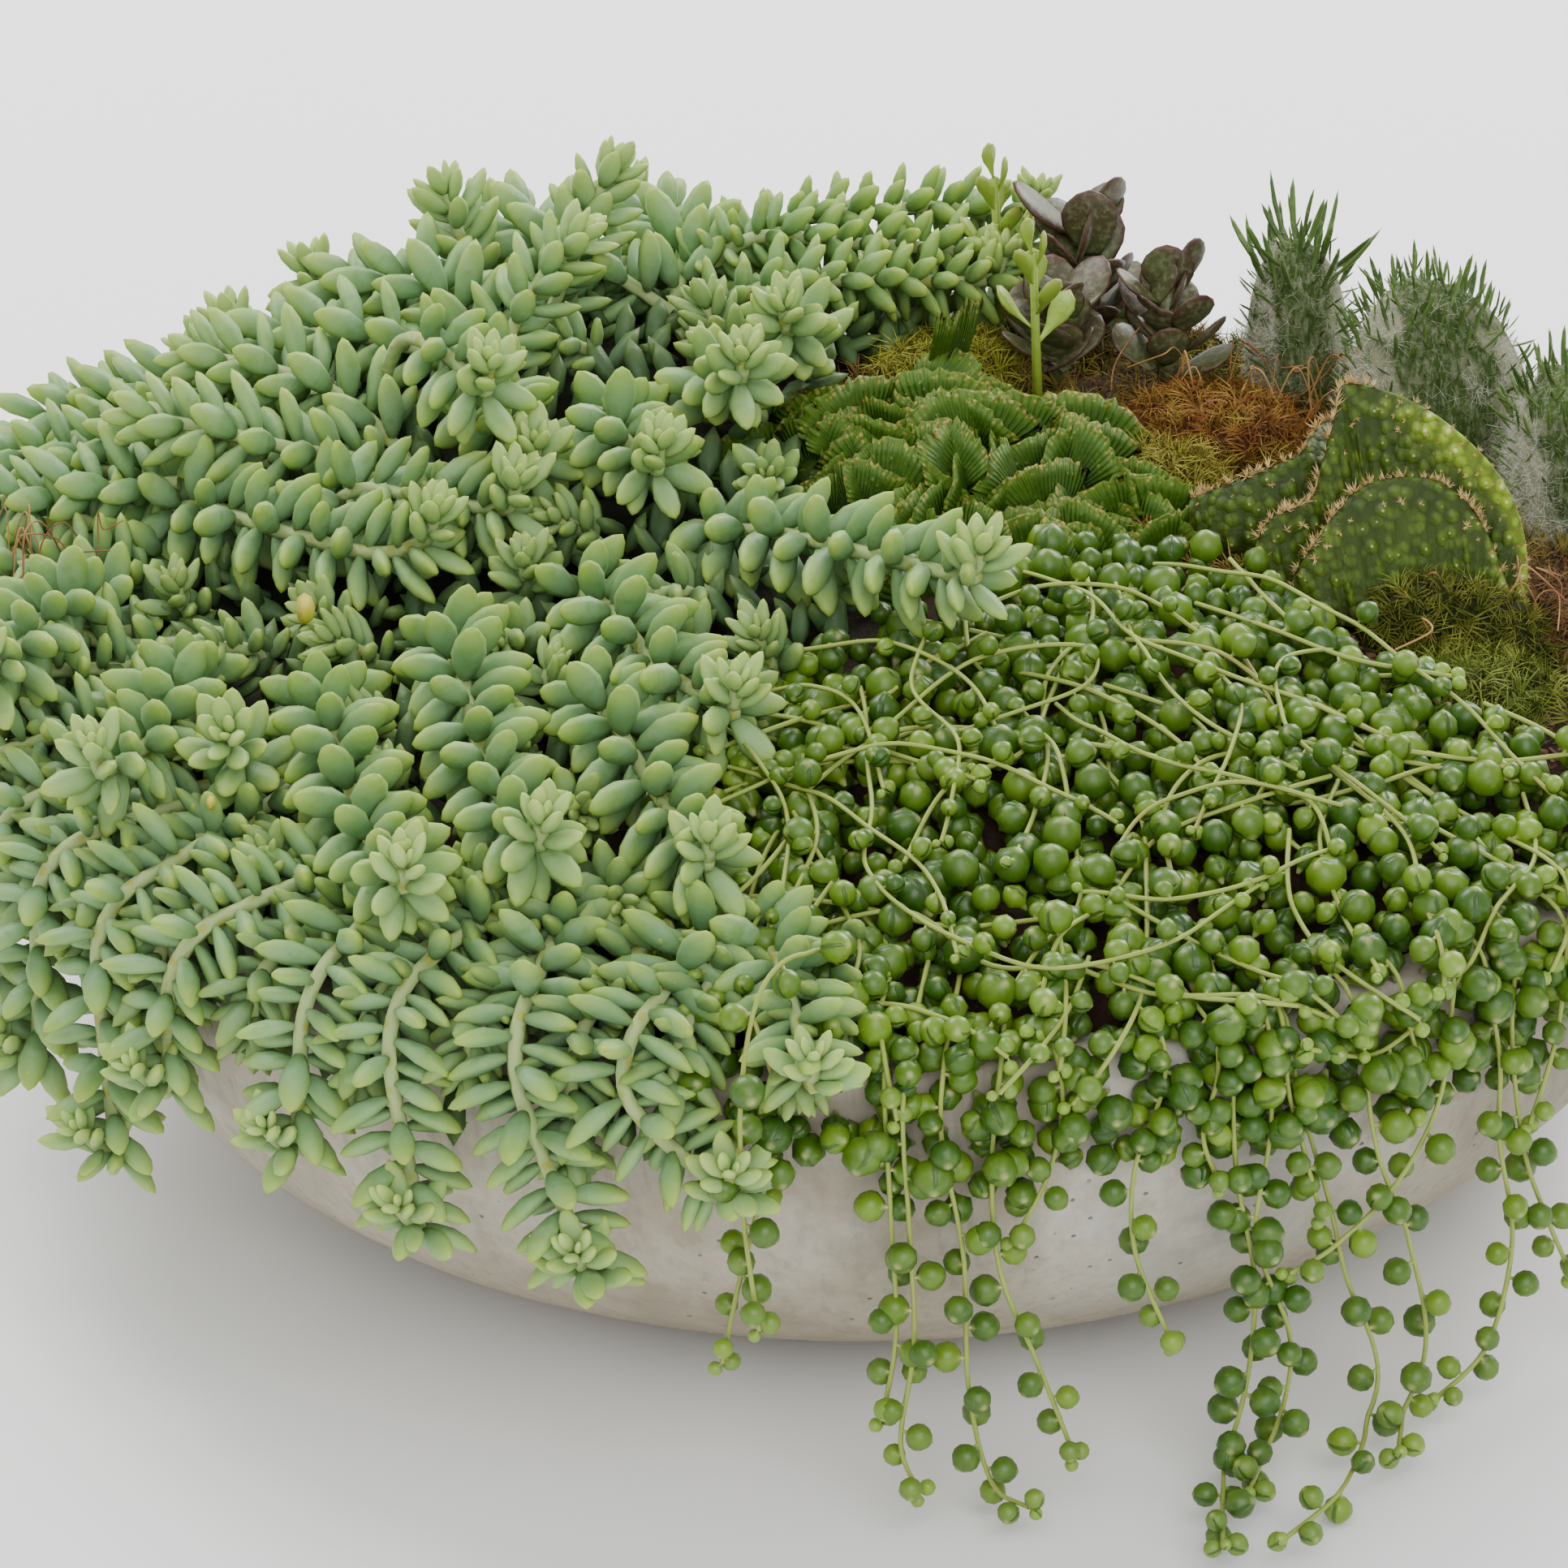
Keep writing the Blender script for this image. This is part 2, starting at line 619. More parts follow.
def sedum_routes():
    """Each spray's routes and the bare length at the foot of its stems."""
    sprays = {}
    for name, (crown, stems) in SEDUM_SPRAYS.items():
        sprays["sedum_" + name] = (crown, stems, BARE_LENGTHS.get(name, 0))
    for name, (azimuth, arch, stems) in HANGING_SPRAYS.items():
        crown = polar_point(azimuth, HANGING_CROWN_RADIUS, 0)[:2]
        routes = []
        for ends in stems:
            halfway = (azimuth + ends[0][0]) / 2
            start = polar_point(halfway, HANGING_CROWN_RADIUS + HANGING_START, HANGING_START_UP)
            routes.append([start] + [polar_point(*end, arch) for end in ends])
        sprays["sedum_" + name] = (crown, routes, HANGING_BARE)
    for name, (azimuth, end, turns) in RIDGE_SPRAYS.items():
        crown = polar_point(azimuth, RIDGE_CROWN_RADIUS, 0)[:2]
        routes = []
        for turn in turns:
            routes.append([polar_point(turn, *RIDGE_MIDDLE), polar_point(turn, RIDGE_REACH, end)])
        sprays["sedum_" + name] = (crown, routes, 0)
    return sprays


def leaf_form(length, width, base, curl, rings, sides, flat=1.0):
    """A plump pointed leaf that stands on its foot and curls in toward +X at its tip."""
    form = bmesh.new()
    layer = form.loops.layers.uv.new("along")
    rows = []
    shares = {}
    for along, wide in [(0, 0)] + rings + [(1, 0)]:
        bend = curl * length * (along**2)
        height = base + length * along
        row = []
        for k in range(sides if wide else 1):
            angle = k / sides * 2 * math.pi
            radius = width / 2 * wide
            spot = (radius * math.cos(angle) * flat - bend, radius * math.sin(angle), height)
            row.append(form.verts.new(spot))
            shares[row[-1]] = along
        rows.append(row * (1 if wide else sides))
    for low, high in zip(rows, rows[1:]):
        for k in range(sides):
            after = (k + 1) % sides
            corners = list(dict.fromkeys([low[k], low[after], high[after], high[k]]))
            face = form.faces.new(corners)
            for loop in face.loops:
                second = loop.vert in (low[after], high[after]) and loop.vert not in (low[k], high[k])
                loop[layer].uv = ((k + second) / sides, shares[loop.vert])
    return form


def pattern_object(name, form):
    """A shape that a tree repeats. It is taken away again once the trees have used it."""
    bmesh.ops.recalc_face_normals(form, faces=form.faces)
    return mesh_object(name, form, smooth=True)


def new_tree(name, sockets):
    """A geometry tree with named inputs, and a board to add its nodes to."""
    tree = bpy.data.node_groups.new(name, "GeometryNodeTree")
    tree.interface.new_socket("Geometry", in_out="OUTPUT", socket_type="NodeSocketGeometry")
    tree.interface.new_socket("Geometry", in_out="INPUT", socket_type="NodeSocketGeometry")
    for label, kind in sockets.items():
        tree.interface.new_socket(label, in_out="INPUT", socket_type="NodeSocket" + kind)
    board = Board(tree)
    return board, board.add("NodeGroupInput")


def wobble(board, given, low, high, extra):
    """A random value for each point, drawn from the tree's seed and a number of its own."""
    values = {2: low, 3: high, 8: given.out("Seed") + extra}
    return board.add("FunctionNodeRandomValue", {"data_type": "FLOAT"}, values, 1)


def turn_about(board, facing, turns):
    """A facing, turned in its own frame about each axis by its angle."""
    for axis, angle in turns:
        step = board.add("FunctionNodeAxisAngleToRotation", None, [axis, angle])
        facing = board.add("FunctionNodeRotateRotation", {"rotation_space": "LOCAL"}, [facing, step])
    return facing


def set_copies(board, points, stored, shape, facing, size):
    """Copies of a shape on the points, which carry the stored values on."""
    for name, value in stored.items():
        points = board.add("GeometryNodeStoreNamedAttribute", None, {0: points, 2: name, 3: value})
    pattern = board.add("GeometryNodeObjectInfo", None, [shape]).out("Geometry")
    values = {0: points, 2: pattern, 5: facing, 6: size}
    return board.add("GeometryNodeInstanceOnPoints", None, values)


def end_tree(board, geometry):
    """Makes the instances real and ends the tree."""
    real = board.add("GeometryNodeRealizeInstances", None, {0: geometry})
    board.add("NodeGroupOutput", None, [real])
    return board.tree


def grown_mesh(tree, carrier, values):
    """The mesh that a tree makes on a carrier object, which is then removed."""
    scene_objects = bpy.context.scene.collection.objects
    scene_objects.link(carrier)
    modifier = carrier.modifiers.new("grow", "NODES")
    modifier.node_group = tree
    for item in tree.interface.items_tree:
        if item.in_out == "INPUT" and item.name in values:
            modifier[item.identifier] = values[item.name]
    evaluated = carrier.evaluated_get(bpy.context.evaluated_depsgraph_get())
    mesh = bpy.data.meshes.new_from_object(evaluated)
    data = carrier.data
    bpy.data.objects.remove(carrier)
    if data.users == 0:
        (bpy.data.curves if isinstance(data, bpy.types.Curve) else bpy.data.meshes).remove(data)
    return mesh


def line_object(route):
    """A curve object with a straight-edged line through a route's places."""
    curve = bpy.data.curves.new("route", "CURVE")
    curve.dimensions = "3D"
    spline = curve.splines.new("POLY")
    spline.points.add(len(route) - 1)
    for point, place in zip(spline.points, route):
        point.co = (*place, 1)
    return bpy.data.objects.new("route", curve)


def join_meshes(name, meshes):
    """One piece from several meshes that share their materials."""
    finishes = list(dict.fromkeys(item for mesh in meshes for item in mesh.materials))
    form = bmesh.new()
    for mesh in meshes:
        moved = [finishes.index(item) for item in mesh.materials]
        for polygon in mesh.polygons:
            polygon.material_index = moved[polygon.material_index]
        form.from_mesh(mesh)
        bpy.data.meshes.remove(mesh)
    whole = bpy.data.meshes.new(name)
    form.to_mesh(whole)
    form.free()
    for item in finishes:
        whole.materials.append(item)
    piece = bpy.data.objects.new(name, whole)
    bpy.context.scene.collection.objects.link(piece)
    return piece


def leafy_stem_tree():
    """Leaves in a spiral round a line, close together and small at its far end."""
    sockets = {
        "Leaf": "Object",
        "Leaf finish": "Material",
        "Stem finish": "Material",
        "Pitch": "Float",
        "Closing up": "Float",
        "Bare": "Float",
        "Stem radius": "Float",
        "Leaf lean": "Float",
        "Tip lean": "Float",
        "Tip size": "Float",
        "Leaf size": "Float",
        "Palest": "Float",
        "Darkest": "Float",
        "Sideways": "Float",
        "Seed": "Int",
    }
    board, given = new_tree("leafy_stem", sockets)
    pitch, closing = given.out("Pitch"), given.out("Closing up")
    line = given.out("Geometry")
    length = board.add("GeometryNodeCurveLength", None, [line])
    count = (length - given.out("Bare")) / pitch + closing
    points = board.add("GeometryNodePoints", None, [count])
    index = board.add("GeometryNodeInputIndex")
    youth = (index / closing * -1).exp()
    from_tip = pitch * (index - closing * (1 - youth))
    sample = {0: line, 3: length - from_tip}
    place = board.add("GeometryNodeSampleCurve", {"mode": "LENGTH"}, sample, 1)
    outward = board.add("ShaderNodeVectorMath", {"operation": "SUBTRACT"}, [place, BOWL_HEART])
    crossed = [place.out("Tangent"), outward]
    aside = board.add("ShaderNodeVectorMath", {"operation": "CROSS_PRODUCT"}, crossed)
    settings = {"primary_axis": "Z", "secondary_axis": "X"}
    facing = board.add("FunctionNodeAxesToRotation", settings, [place.out("Tangent"), aside])
    turned = index * GOLDEN_TURN
    turned = turned - (turned * 2).sine() * given.out("Sideways") / 2
    turned = turned + wobble(board, given, -TURN_WOBBLE, TURN_WOBBLE, 1)
    lean = given.out("Leaf lean") - (given.out("Leaf lean") - given.out("Tip lean")) * youth
    lean = lean + wobble(board, given, -LEAN_WOBBLE, LEAN_WOBBLE, 2)
    facing = turn_about(board, facing, [((0, 0, 1), turned), ((0, 1, 0), lean)])
    size = given.out("Leaf size") * (1 - (1 - given.out("Tip size")) * youth)
    size = size * wobble(board, given, *SIZE_WOBBLE, 3)
    points = board.add("GeometryNodeSetPosition", None, {0: points, 2: place})
    tone = wobble(board, given, given.out("Darkest"), given.out("Palest"), 4)
    stored = {"young": youth, "pick": tone}
    leaves = set_copies(board, points, stored, given.out("Leaf"), facing, size)
    leaves = board.add("GeometryNodeSetMaterial", None, {0: leaves, 2: given.out("Leaf finish")})
    values = {0: STEM_SIDES, 4: given.out("Stem radius")}
    ring = board.add("GeometryNodeCurvePrimitiveCircle", None, values)
    stem = board.add("GeometryNodeCurveToMesh", None, {0: line, 1: ring, 3: True})
    stem = board.add("GeometryNodeSetMaterial", None, {0: stem, 2: given.out("Stem finish")})
    return end_tree(board, board.add("GeometryNodeJoinGeometry", None, {0: [leaves, stem]}))


def inside(x, y, outline):
    """Whether a place lies inside a closed outline."""
    crossed = False
    for (ax, ay), (bx, by) in zip(outline, outline[1:] + outline[:1]):
        if (ay > y) != (by > y) and x < ax + (y - ay) / (by - ay) * (bx - ax):
            crossed = not crossed
    return crossed


# A cell's middle, which tells whether it lies in the outline, and its corners
CELL_CORNERS = [(0.5, 0.5), (0, 0), (0, 1), (1, 1), (1, 0)]


def bed_sheet(outline, azimuth_from, azimuth_to, radius_from, radius_to, up):
    """A carrier sheet over the mound and the rim, inside an outline and between two azimuths."""
    form = bmesh.new()
    columns = round(math.radians(azimuth_to - azimuth_from) * BED_CELL_RADIUS / BED_CELL)
    rows = round((radius_to - radius_from) / BED_CELL)
    corners = {}
    for row in range(rows):
        for column in range(columns):
            shares = [(row + across, column + on) for across, on in CELL_CORNERS]
            places = []
            for across, round_share in shares:
                radius = radius_from + across / rows * (radius_to - radius_from)
                azimuth = azimuth_from + round_share / columns * (azimuth_to - azimuth_from)
                places.append(polar_point(azimuth, radius, up))
            if not inside(*places[0][:2], outline):
                continue
            face = []
            for share, (x, y, height) in zip(shares[1:], places[1:]):
                if share not in corners:
                    corners[share] = form.verts.new(over_mound(x * MM, y * MM, height * MM))
                face.append(corners[share])
            form.faces.new(face)
    bmesh.ops.recalc_face_normals(form, faces=form.faces)
    for face in form.faces:
        if face.normal.z < 0 and face.calc_center_median().z > BOWL_HEIGHT + 2 * MM:
            face.normal_flip()
    return mesh_object("bed_sheet", form)


def strewn_tree():
    """Copies of one shape strewn evenly over a sheet, each leaning its own way."""
    sockets = {
        "Shape": "Object",
        "Finish": "Material",
        "Spacing": "Float",
        "Smallest": "Float",
        "Largest": "Float",
        "Least tilt": "Float",
        "Most tilt": "Float",
        "Seed": "Int",
    }
    board, given = new_tree("strewn", sockets)
    values = {0: given, 2: given.out("Spacing"), 3: 1e6, 5: 1.0, 6: given.out("Seed")}
    points = board.add("GeometryNodeDistributePointsOnFaces", {"distribute_method": "POISSON"}, values)
    turned = wobble(board, given, 0, 2 * math.pi, 1)
    tilt = wobble(board, given, given.out("Least tilt"), given.out("Most tilt"), 2)
    facing = turn_about(board, points.out("Rotation"), [((0, 0, 1), turned), ((0, 1, 0), tilt)])
    size = wobble(board, given, given.out("Smallest"), given.out("Largest"), 3)
    stored = {"young": 0.0, "pick": wobble(board, given, 0, 1, 4)}
    grown = set_copies(board, points, stored, given.out("Shape"), facing, size)
    coated = board.add("GeometryNodeSetMaterial", None, {0: grown, 2: given.out("Finish")})
    return end_tree(board, coated)


def strew(carrier, shape, finish, spacing, sizes, tilts, seed):
    """A mesh of copies of a shape on a carrier. Sizes and tilts are ranges, tilts in degrees."""
    values = {"Shape": shape, "Finish": finish, "Spacing": spacing, "Seed": seed}
    values.update({"Smallest": sizes[0], "Largest": sizes[1]})
    values.update({"Least tilt": math.radians(tilts[0]), "Most tilt": math.radians(tilts[1])})
    return grown_mesh(strewn_sheet, carrier, values)


# The leaves at the back are greener, round this place
SHADY_END = (0.010, 0.135, 0.135)

sedum_leaf = Finish("sedum_leaf", roughness=0.55, specular=0.35, soft=0.07)
young = sedum_leaf.stored("young")
pick = sedum_leaf.stored("pick")
leaf_round = sedum_leaf.along()
along = leaf_round.out("Y")
bloom = sedum_leaf.noise(90, 3)
blotch = sedum_leaf.noise(260, 3)
flecks = sedum_leaf.noise(900, 2)
margin = (leaf_round * (2 * math.pi)).sine() ** 6
shady = sedum_leaf.around(SHADY_END, 0.075).ramp(0.1, 0.6)
flesh = sedum_leaf.mix(pick, (0.100, 0.228, 0.080), (0.182, 0.348, 0.138))
flesh = sedum_leaf.layered(flesh, [
    (bloom.ramp(0.30, 0.65) * 0.62, (0.256, 0.412, 0.226)),
    (blotch.ramp(0.54, 0.66) * 0.45, (0.110, 0.235, 0.040)),
    (margin * 0.40, (0.250, 0.400, 0.085)),
    (shady * 0.65, (0.140, 0.260, 0.026)),
    ((along.ramp(0.40, 1.0) ** 1.6) * 0.85, (0.340, 0.470, 0.045)),
    (young * 0.65, (0.480, 0.630, 0.170)),
    (along.ramp(0.34, 0.0) * 0.42, (0.060, 0.130, 0.030)),
    (sedum_leaf.stored("deep") * 0.80, (0.036, 0.080, 0.024)),
    (flecks.ramp(0.70, 0.76) * 0.25, (0.500, 0.540, 0.320)),
])
leaf_finish = sedum_leaf.finish(flesh, 0.62 - bloom * 0.14, blotch * 0.8 + flecks * 0.25, 0.30 * MM)

stalk = Finish("sedum_stem", roughness=0.6, specular=0.3)
scars = stalk.cells(230)
stalk_green = stalk.mix(stalk.noise(60, 3), (0.270, 0.380, 0.130), (0.400, 0.490, 0.200))
stalk_green = stalk.mix(scars.ramp(0.34, 0.20) * 0.8, stalk_green, (0.330, 0.340, 0.040))
stalk_finish = stalk.finish(stalk_green, None, scars.ramp(0.2, 0.5), 0.4 * MM)



def sedum_leaf_form(base, rings, sides, size=1.0):
    return leaf_form(LEAF_LENGTH * size, LEAF_WIDTH * size, base, LEAF_CURL, rings, sides, LEAF_FLAT)


sedum_pattern = pattern_object("sedum_leaf", sedum_leaf_form(LEAF_BASE, LEAF_RINGS, LEAF_SIDES))
plain_leaf = sedum_leaf_form(LEAF_BASE, PLAIN_LEAF_RINGS, PLAIN_LEAF_SIDES)
plain_pattern = pattern_object("plain_leaf", plain_leaf)
ground_leaf = sedum_leaf_form(0, GROUND_LEAF_RINGS, GROUND_LEAF_SIDES)
ground_pattern = pattern_object("ground_leaf", ground_leaf)
stem_tree = leafy_stem_tree()
strewn_sheet = strewn_tree()
SEDUM_GROWTH = {
    "Leaf finish": leaf_finish,
    "Stem finish": stalk_finish,
    "Closing up": 9.0,
    "Stem radius": 1.7 * MM,
    "Leaf lean": math.radians(70),
    "Tip lean": math.radians(22),
    "Tip size": 0.40,
    "Darkest": 0.0,
    "Palest": 1.0,
    "Sideways": LYING_SIDEWAYS,
}


def store(piece, name, values):
    """Keeps a value for each point of a piece, for its material to read."""
    piece.data.attributes.new(name, "FLOAT", "POINT").data.foreach_set("value", values)


def grow_tails(name, routes, bare, seed, size=1.0, shade=0.0, leaf=plain_pattern):
    """A piece of leafy tails, one on each route. Shade darkens those that lie under others."""
    meshes = []
    for offset, route in enumerate(routes):
        values = dict(SEDUM_GROWTH, Leaf=leaf, Bare=bare + FIRST_LEAF_UP, Seed=seed * 10 + offset)
        values.update({"Leaf size": size, "Pitch": LEAF_PITCH * size**1.5})
        if "_hang_" in name:
            values.update({"Pitch": HANGING_PITCH, "Sideways": HANGING_SIDEWAYS})
        if "_hang_" in name or "_back_lying" in name:
            values["Leaf lean"] = math.radians(COMB_LEAN)
        meshes.append(grown_mesh(stem_tree, line_object(route), values))
    piece = join_meshes(name, meshes)
    store(piece, "deep", [shade] * len(piece.data.vertices))
    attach(piece, "root")
    return piece


sedum_lines = []
for seed, (node, (crown, stems, bare)) in enumerate(sedum_routes().items()):
    routes = [smooth_route(turned_up([(*crown, ROUTE_START)] + points)) for points in stems]
    sedum_lines += routes
    size = HANGING_LEAF if "_hang_" in node else FAR_LEAF if "_back_lying" in node else LYING_LEAF
    leaf = plain_pattern if "_back_" in node or node in PLAIN_LEAVED else sedum_pattern
    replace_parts(grow_tails(node + "_tails", routes, bare, seed, size, leaf=leaf), node)


# Between the tails, short side shoots fill the bed with more rosettes, and under them all lie
# shorter leaves, so that hardly any soil shows on the sedum's side.
SHOOT_SPACING = 20 * MM
SHOOT_CLEAR = 14 * MM
SHOOT_TRIES = 3000
SHOOT_REACH = 15
SHOOT_UP = 10 * MM
SHOOT_RIM_CLEAR = 8 * MM
SHOOT_STEPS = 4
# The shoots lean away from this line across the bowl
SHOOT_MIDDLE_Y = 0.05
# Feet of the first ones, where the tails leave the widest gaps
FIRST_SHOOTS = [(-121, -27), (-110, -44), (-137, -30), (-78, -25), (-62, -146), (-67, -70)]
SEDUM_BED = [
    (-44, -218), (-50, -150), (-46, -112), (-34, -84), (-14, -66), (-2, -48), (-20, -16), (-26, 34),
    (-16, 66), (-4, 86), (20, 106), (40, 124), (66, 146), (56, 178), (16, 193), (-30, 224),
    (-120, 190), (-200, 100), (-228, 0), (-200, -110), (-120, -190),
]
# Azimuths from and to, radii from and to, and the height over the bed
SEDUM_SHEET = (50, 282, 6, 212, 1.5)
GROUND_LEAF_SPACING = 7.6 * MM

draw = random.Random(5)
shoot_feet = [over_mound(x * MM, y * MM, SHOOT_UP) for x, y in FIRST_SHOOTS]
for _ in range(SHOOT_TRIES):
    x = draw.uniform(-BOWL_RADIUS, 0.06)
    y = draw.uniform(-BOWL_RADIUS, BOWL_RADIUS)
    if math.hypot(x, y) > BOWL_RADIUS - SHOOT_RIM_CLEAR or not inside(x / MM, y / MM, SEDUM_BED):
        continue
    spot = over_mound(x, y, SHOOT_UP)
    if any((spot - place).length < SHOOT_CLEAR for line in sedum_lines for place in line):
        continue
    if any((spot - other).length < SHOOT_SPACING for other in shoot_feet):
        continue
    shoot_feet.append(spot)
shoot_routes = []
for foot in shoot_feet:
    heading = math.atan2(foot.y - SHOOT_MIDDLE_Y, foot.x) + draw.uniform(-0.7, 0.7)
    points = []
    for share, up in ((0, 1), (0.5, 8), (1, draw.uniform(11, 17))):
        reach = share * SHOOT_REACH * draw.uniform(0.5, 1.2)
        x, y = foot.x / MM + math.cos(heading) * reach, foot.y / MM + math.sin(heading) * reach
        points.append((x, y, up))
    shoot_routes.append(smooth_route(points, SHOOT_STEPS))
grow_tails("sedum_side_shoots", shoot_routes, 0, 77, 0.92, 0.30)

sheet = bed_sheet(SEDUM_BED, *SEDUM_SHEET)
leaves = strew(sheet, ground_pattern, leaf_finish, GROUND_LEAF_SPACING, (0.75, 1.0), (25, 80), 31)
ground_leaves = join_meshes("sedum_ground_leaves", [leaves])
store(ground_leaves, "deep", [1.0] * len(ground_leaves.data.vertices))
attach(ground_leaves, "root")

# A dozen short tails hang close under the longer ones in front and at the left, and three longer
# ones stand out over the rim at the far left.
SHORT_TAILS = [
    (-97, 212), (-110, 232), (-123, 224), (-139, 238), (-153, 226), (-167, 232), (-181, 220),
    (-131, 222), (-104, 222), (-116, 216), (-146, 222), (-160, 218),
]
LEFT_TAILS = [
    [(149, 158, 22), (151, 190, 30), (153, 222, 33), (154, 250, 30)],
    [(158, 164, 22), (160, 194, 30), (161, 226, 33), (162, 254, 28)],
    [(168, 164, 22), (168, 194, 30), (169, 224, 33), (170, 250, 28)],
]

routes = []
for azimuth, reach in SHORT_TAILS:
    start = polar_point(azimuth + 3, 170, 8)
    middle = polar_point(azimuth + 1, 194, 11)
    routes.append(smooth_route([start, middle, polar_point(azimuth, reach, 9)]))
grow_tails("sedum_short_tails", routes, 0, 83, 0.9, 0.40)
routes = [smooth_route([polar_point(*stop) for stop in stops]) for stops in LEFT_TAILS]
grow_tails("sedum_left_tails", routes, 0, 87)


# Two leaves have come loose and lie on the tails, dried to a yellow that browns.
# Each: x, y, height over the bed and size
LOOSE_LEAVES = [(-128, -52, 26, 1.05), (-146, -116, 24, 0.5)]
LOOSE_LEAN = Matrix.Rotation(math.radians(70), 4, "X") @ Matrix.Rotation(math.radians(14), 4, "Y")

dry = Finish("dry_leaf", roughness=0.6, specular=0.3)
dry_tone = dry.mix(dry.noise(160, 3).ramp(0.4, 0.7), (0.500, 0.500, 0.030), (0.440, 0.350, 0.050))
dry_finish = dry.finish(dry_tone, None, dry.noise(500, 2), 0.2 * MM)
meshes = []
for x, y, up, size in LOOSE_LEAVES:
    form = sedum_leaf_form(0, LEAF_RINGS, LEAF_SIDES, size)
    moved = Matrix.Translation(over_mound(x * MM, y * MM, up * MM)) @ LOOSE_LEAN
    bmesh.ops.transform(form, matrix=moved, verts=form.verts)
    leaf = new_piece("loose_leaf", form, dry_finish)
    meshes.append(leaf.data.copy())
    bpy.data.objects.remove(leaf)
loose_leaves = join_meshes("sedum_loose_leaves", meshes)
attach(loose_leaves, "root")


# String of pearls covers the front right of the bed and runs over the rim. It is a mat of round
# green beads, each on a short stalk, with a small point and a dark window down one side.
BEAD_LENGTH = 9.6 * MM
BEAD_WIDTH = 8.0 * MM
BEAD_SIDES = 10
BEAD_RINGS = [
    (0.0, 0.10), (0.16, 0.14), (0.22, 0.52), (0.36, 0.88), (0.56, 1.0), (0.75, 0.86), (0.91, 0.48),
]
# The beads that only lie in the mat are plainer, in two layers: the height over the bed in
# millimetres, the spacing and the sizes
LOW_BEAD_RINGS = [(0.0, 0.12), (0.20, 0.34), (0.42, 0.97), (0.72, 0.88), (0.90, 0.44)]
LOW_BEAD_SIDES = 8
BEAD_LAYERS = [(0.001, 6.1 * MM, (0.65, 0.95)), (6.0, 8.6 * MM, (0.62, 1.16))]
PEARL_BED = [
    (-30, -70), (-8, -64), (14, -52), (28, -38), (46, -24), (68, -22), (80, -35), (94, -51),
    (109, -70), (129, -92), (154, -102), (176, -96), (213, -84), (196, -118), (180, -140),
    (151, -172), (110, -198), (80, -216), (52, -218), (14, -229), (-24, -218), (-44, -208),
    (-50, -186), (-52, -150), (-50, -112), (-40, -84),
]
# Each mat: azimuth from and to
PEARL_MATS = {
    "pearl_mat_front": (-118, -76),
    "pearl_mat_middle": (-76, -52.5),
    "pearl_mat_right": (-52.5, -38.5),
    "pearl_mat_edge": (-38.5, -18),
}
BED_RADIUS_FROM = 44
BED_RADIUS_TO = 231
# Hanging strands: their height over the bed and the sizes of their beads
STRAND_UP = (5.5, 9)
STRAND_SIZES = (0.74, 0.88)
# Strands with beads closer than this are in the shade of others, so their beads are darker
CLOSE_SPACING = 7
CLOSE_PALEST = 0.45
# The strands of each mat: bead spacing, then azimuth and reach over the rim at each point
PEARL_STRANDS = {
    "pearl_mat_front": [
        (9.0, [(-91, 184), (-92, 208), (-92, 239), (-92, 268), (-93, 288)]),
        (8.0, [(-89, 180), (-91, 214), (-91, 243), (-91, 272), (-92, 296), (-91, 308)]),
        (7.5, [(-87, 182), (-89, 218), (-88, 251), (-88, 282), (-87, 304), (-85, 314)]),
        (8.0, [(-84, 184), (-86, 220), (-86, 252), (-84, 276), (-82, 300)]),
        (11.0, [(-96, 176), (-97, 200), (-98, 222), (-100, 246), (-102, 276)]),
        (7.0, [(-77, 182), (-76, 212), (-78, 234), (-78, 254), (-76, 276)]),
        (6.5, [(-83, 190), (-82, 214), (-83, 232), (-85, 246)]),
    ],
    "pearl_mat_middle": [
        (5.0, [(-71, 184), (-72, 212), (-72, 240), (-71, 268), (-72, 296), (-75, 326), (-76, 338)]),
        (5.5, [(-70, 200), (-70, 232), (-71, 258), (-69, 284), (-70, 304), (-73, 322)]),
        (11.0, [(-69, 186), (-68, 222), (-66, 252), (-65, 270), (-63, 300), (-68, 326), (-73, 340)]),
        (6.0, [(-69, 196), (-69, 222), (-68, 240), (-67, 256)]),
        (9.5, [(-65, 190), (-64, 222), (-63, 246), (-61, 268), (-60, 298), (-64, 322)]),
        (9.0, [(-57, 190), (-58, 216), (-59, 238), (-62, 254), (-66, 264), (-69, 268)]),
        (7.0, [(-55, 188), (-55, 212), (-54, 232), (-54, 252), (-53, 278), (-55, 300), (-59, 308)]),
        (7.0, [(-74, 190), (-73, 214), (-74, 230), (-73, 242)]),
        (7.0, [(-61, 190), (-61, 212), (-60, 230), (-61, 240)]),
    ],
    "pearl_mat_right": [
        (8.0, [(-49, 188), (-49, 214), (-50, 236), (-52, 252)]),
        (8.5, [(-52, 196), (-53, 226), (-52, 256), (-50, 276), (-48, 292)]),
        (7.0, [(-46, 188), (-45, 216), (-46, 248), (-44, 282), (-46, 304)]),
        (8.0, [(-42, 190), (-42, 214), (-40, 240), (-42, 262)]),
    ],
    "pearl_mat_edge": [
        (8.0, [(-36, 188), (-36, 216), (-38, 250), (-37, 284), (-39, 300)]),
        (7.0, [(-32, 190), (-31, 214), (-31, 240), (-29, 262)]),
        (8.0, [(-27, 188), (-26, 218), (-27, 252), (-25, 286), (-27, 304)]),
        (8.0, [(-22, 190), (-23, 212), (-22, 232), (-23, 250)]),
    ],
}
# One strand of the front mat crosses the sedum: its points, bead size and bead spacing
CROSSING_STRAND = (
    [(-14, -182, 8), (-20, -196, 26), (-32, -214, 30), (-42, -246, 20), (-45, -270, 14)], 0.9, 14,
)
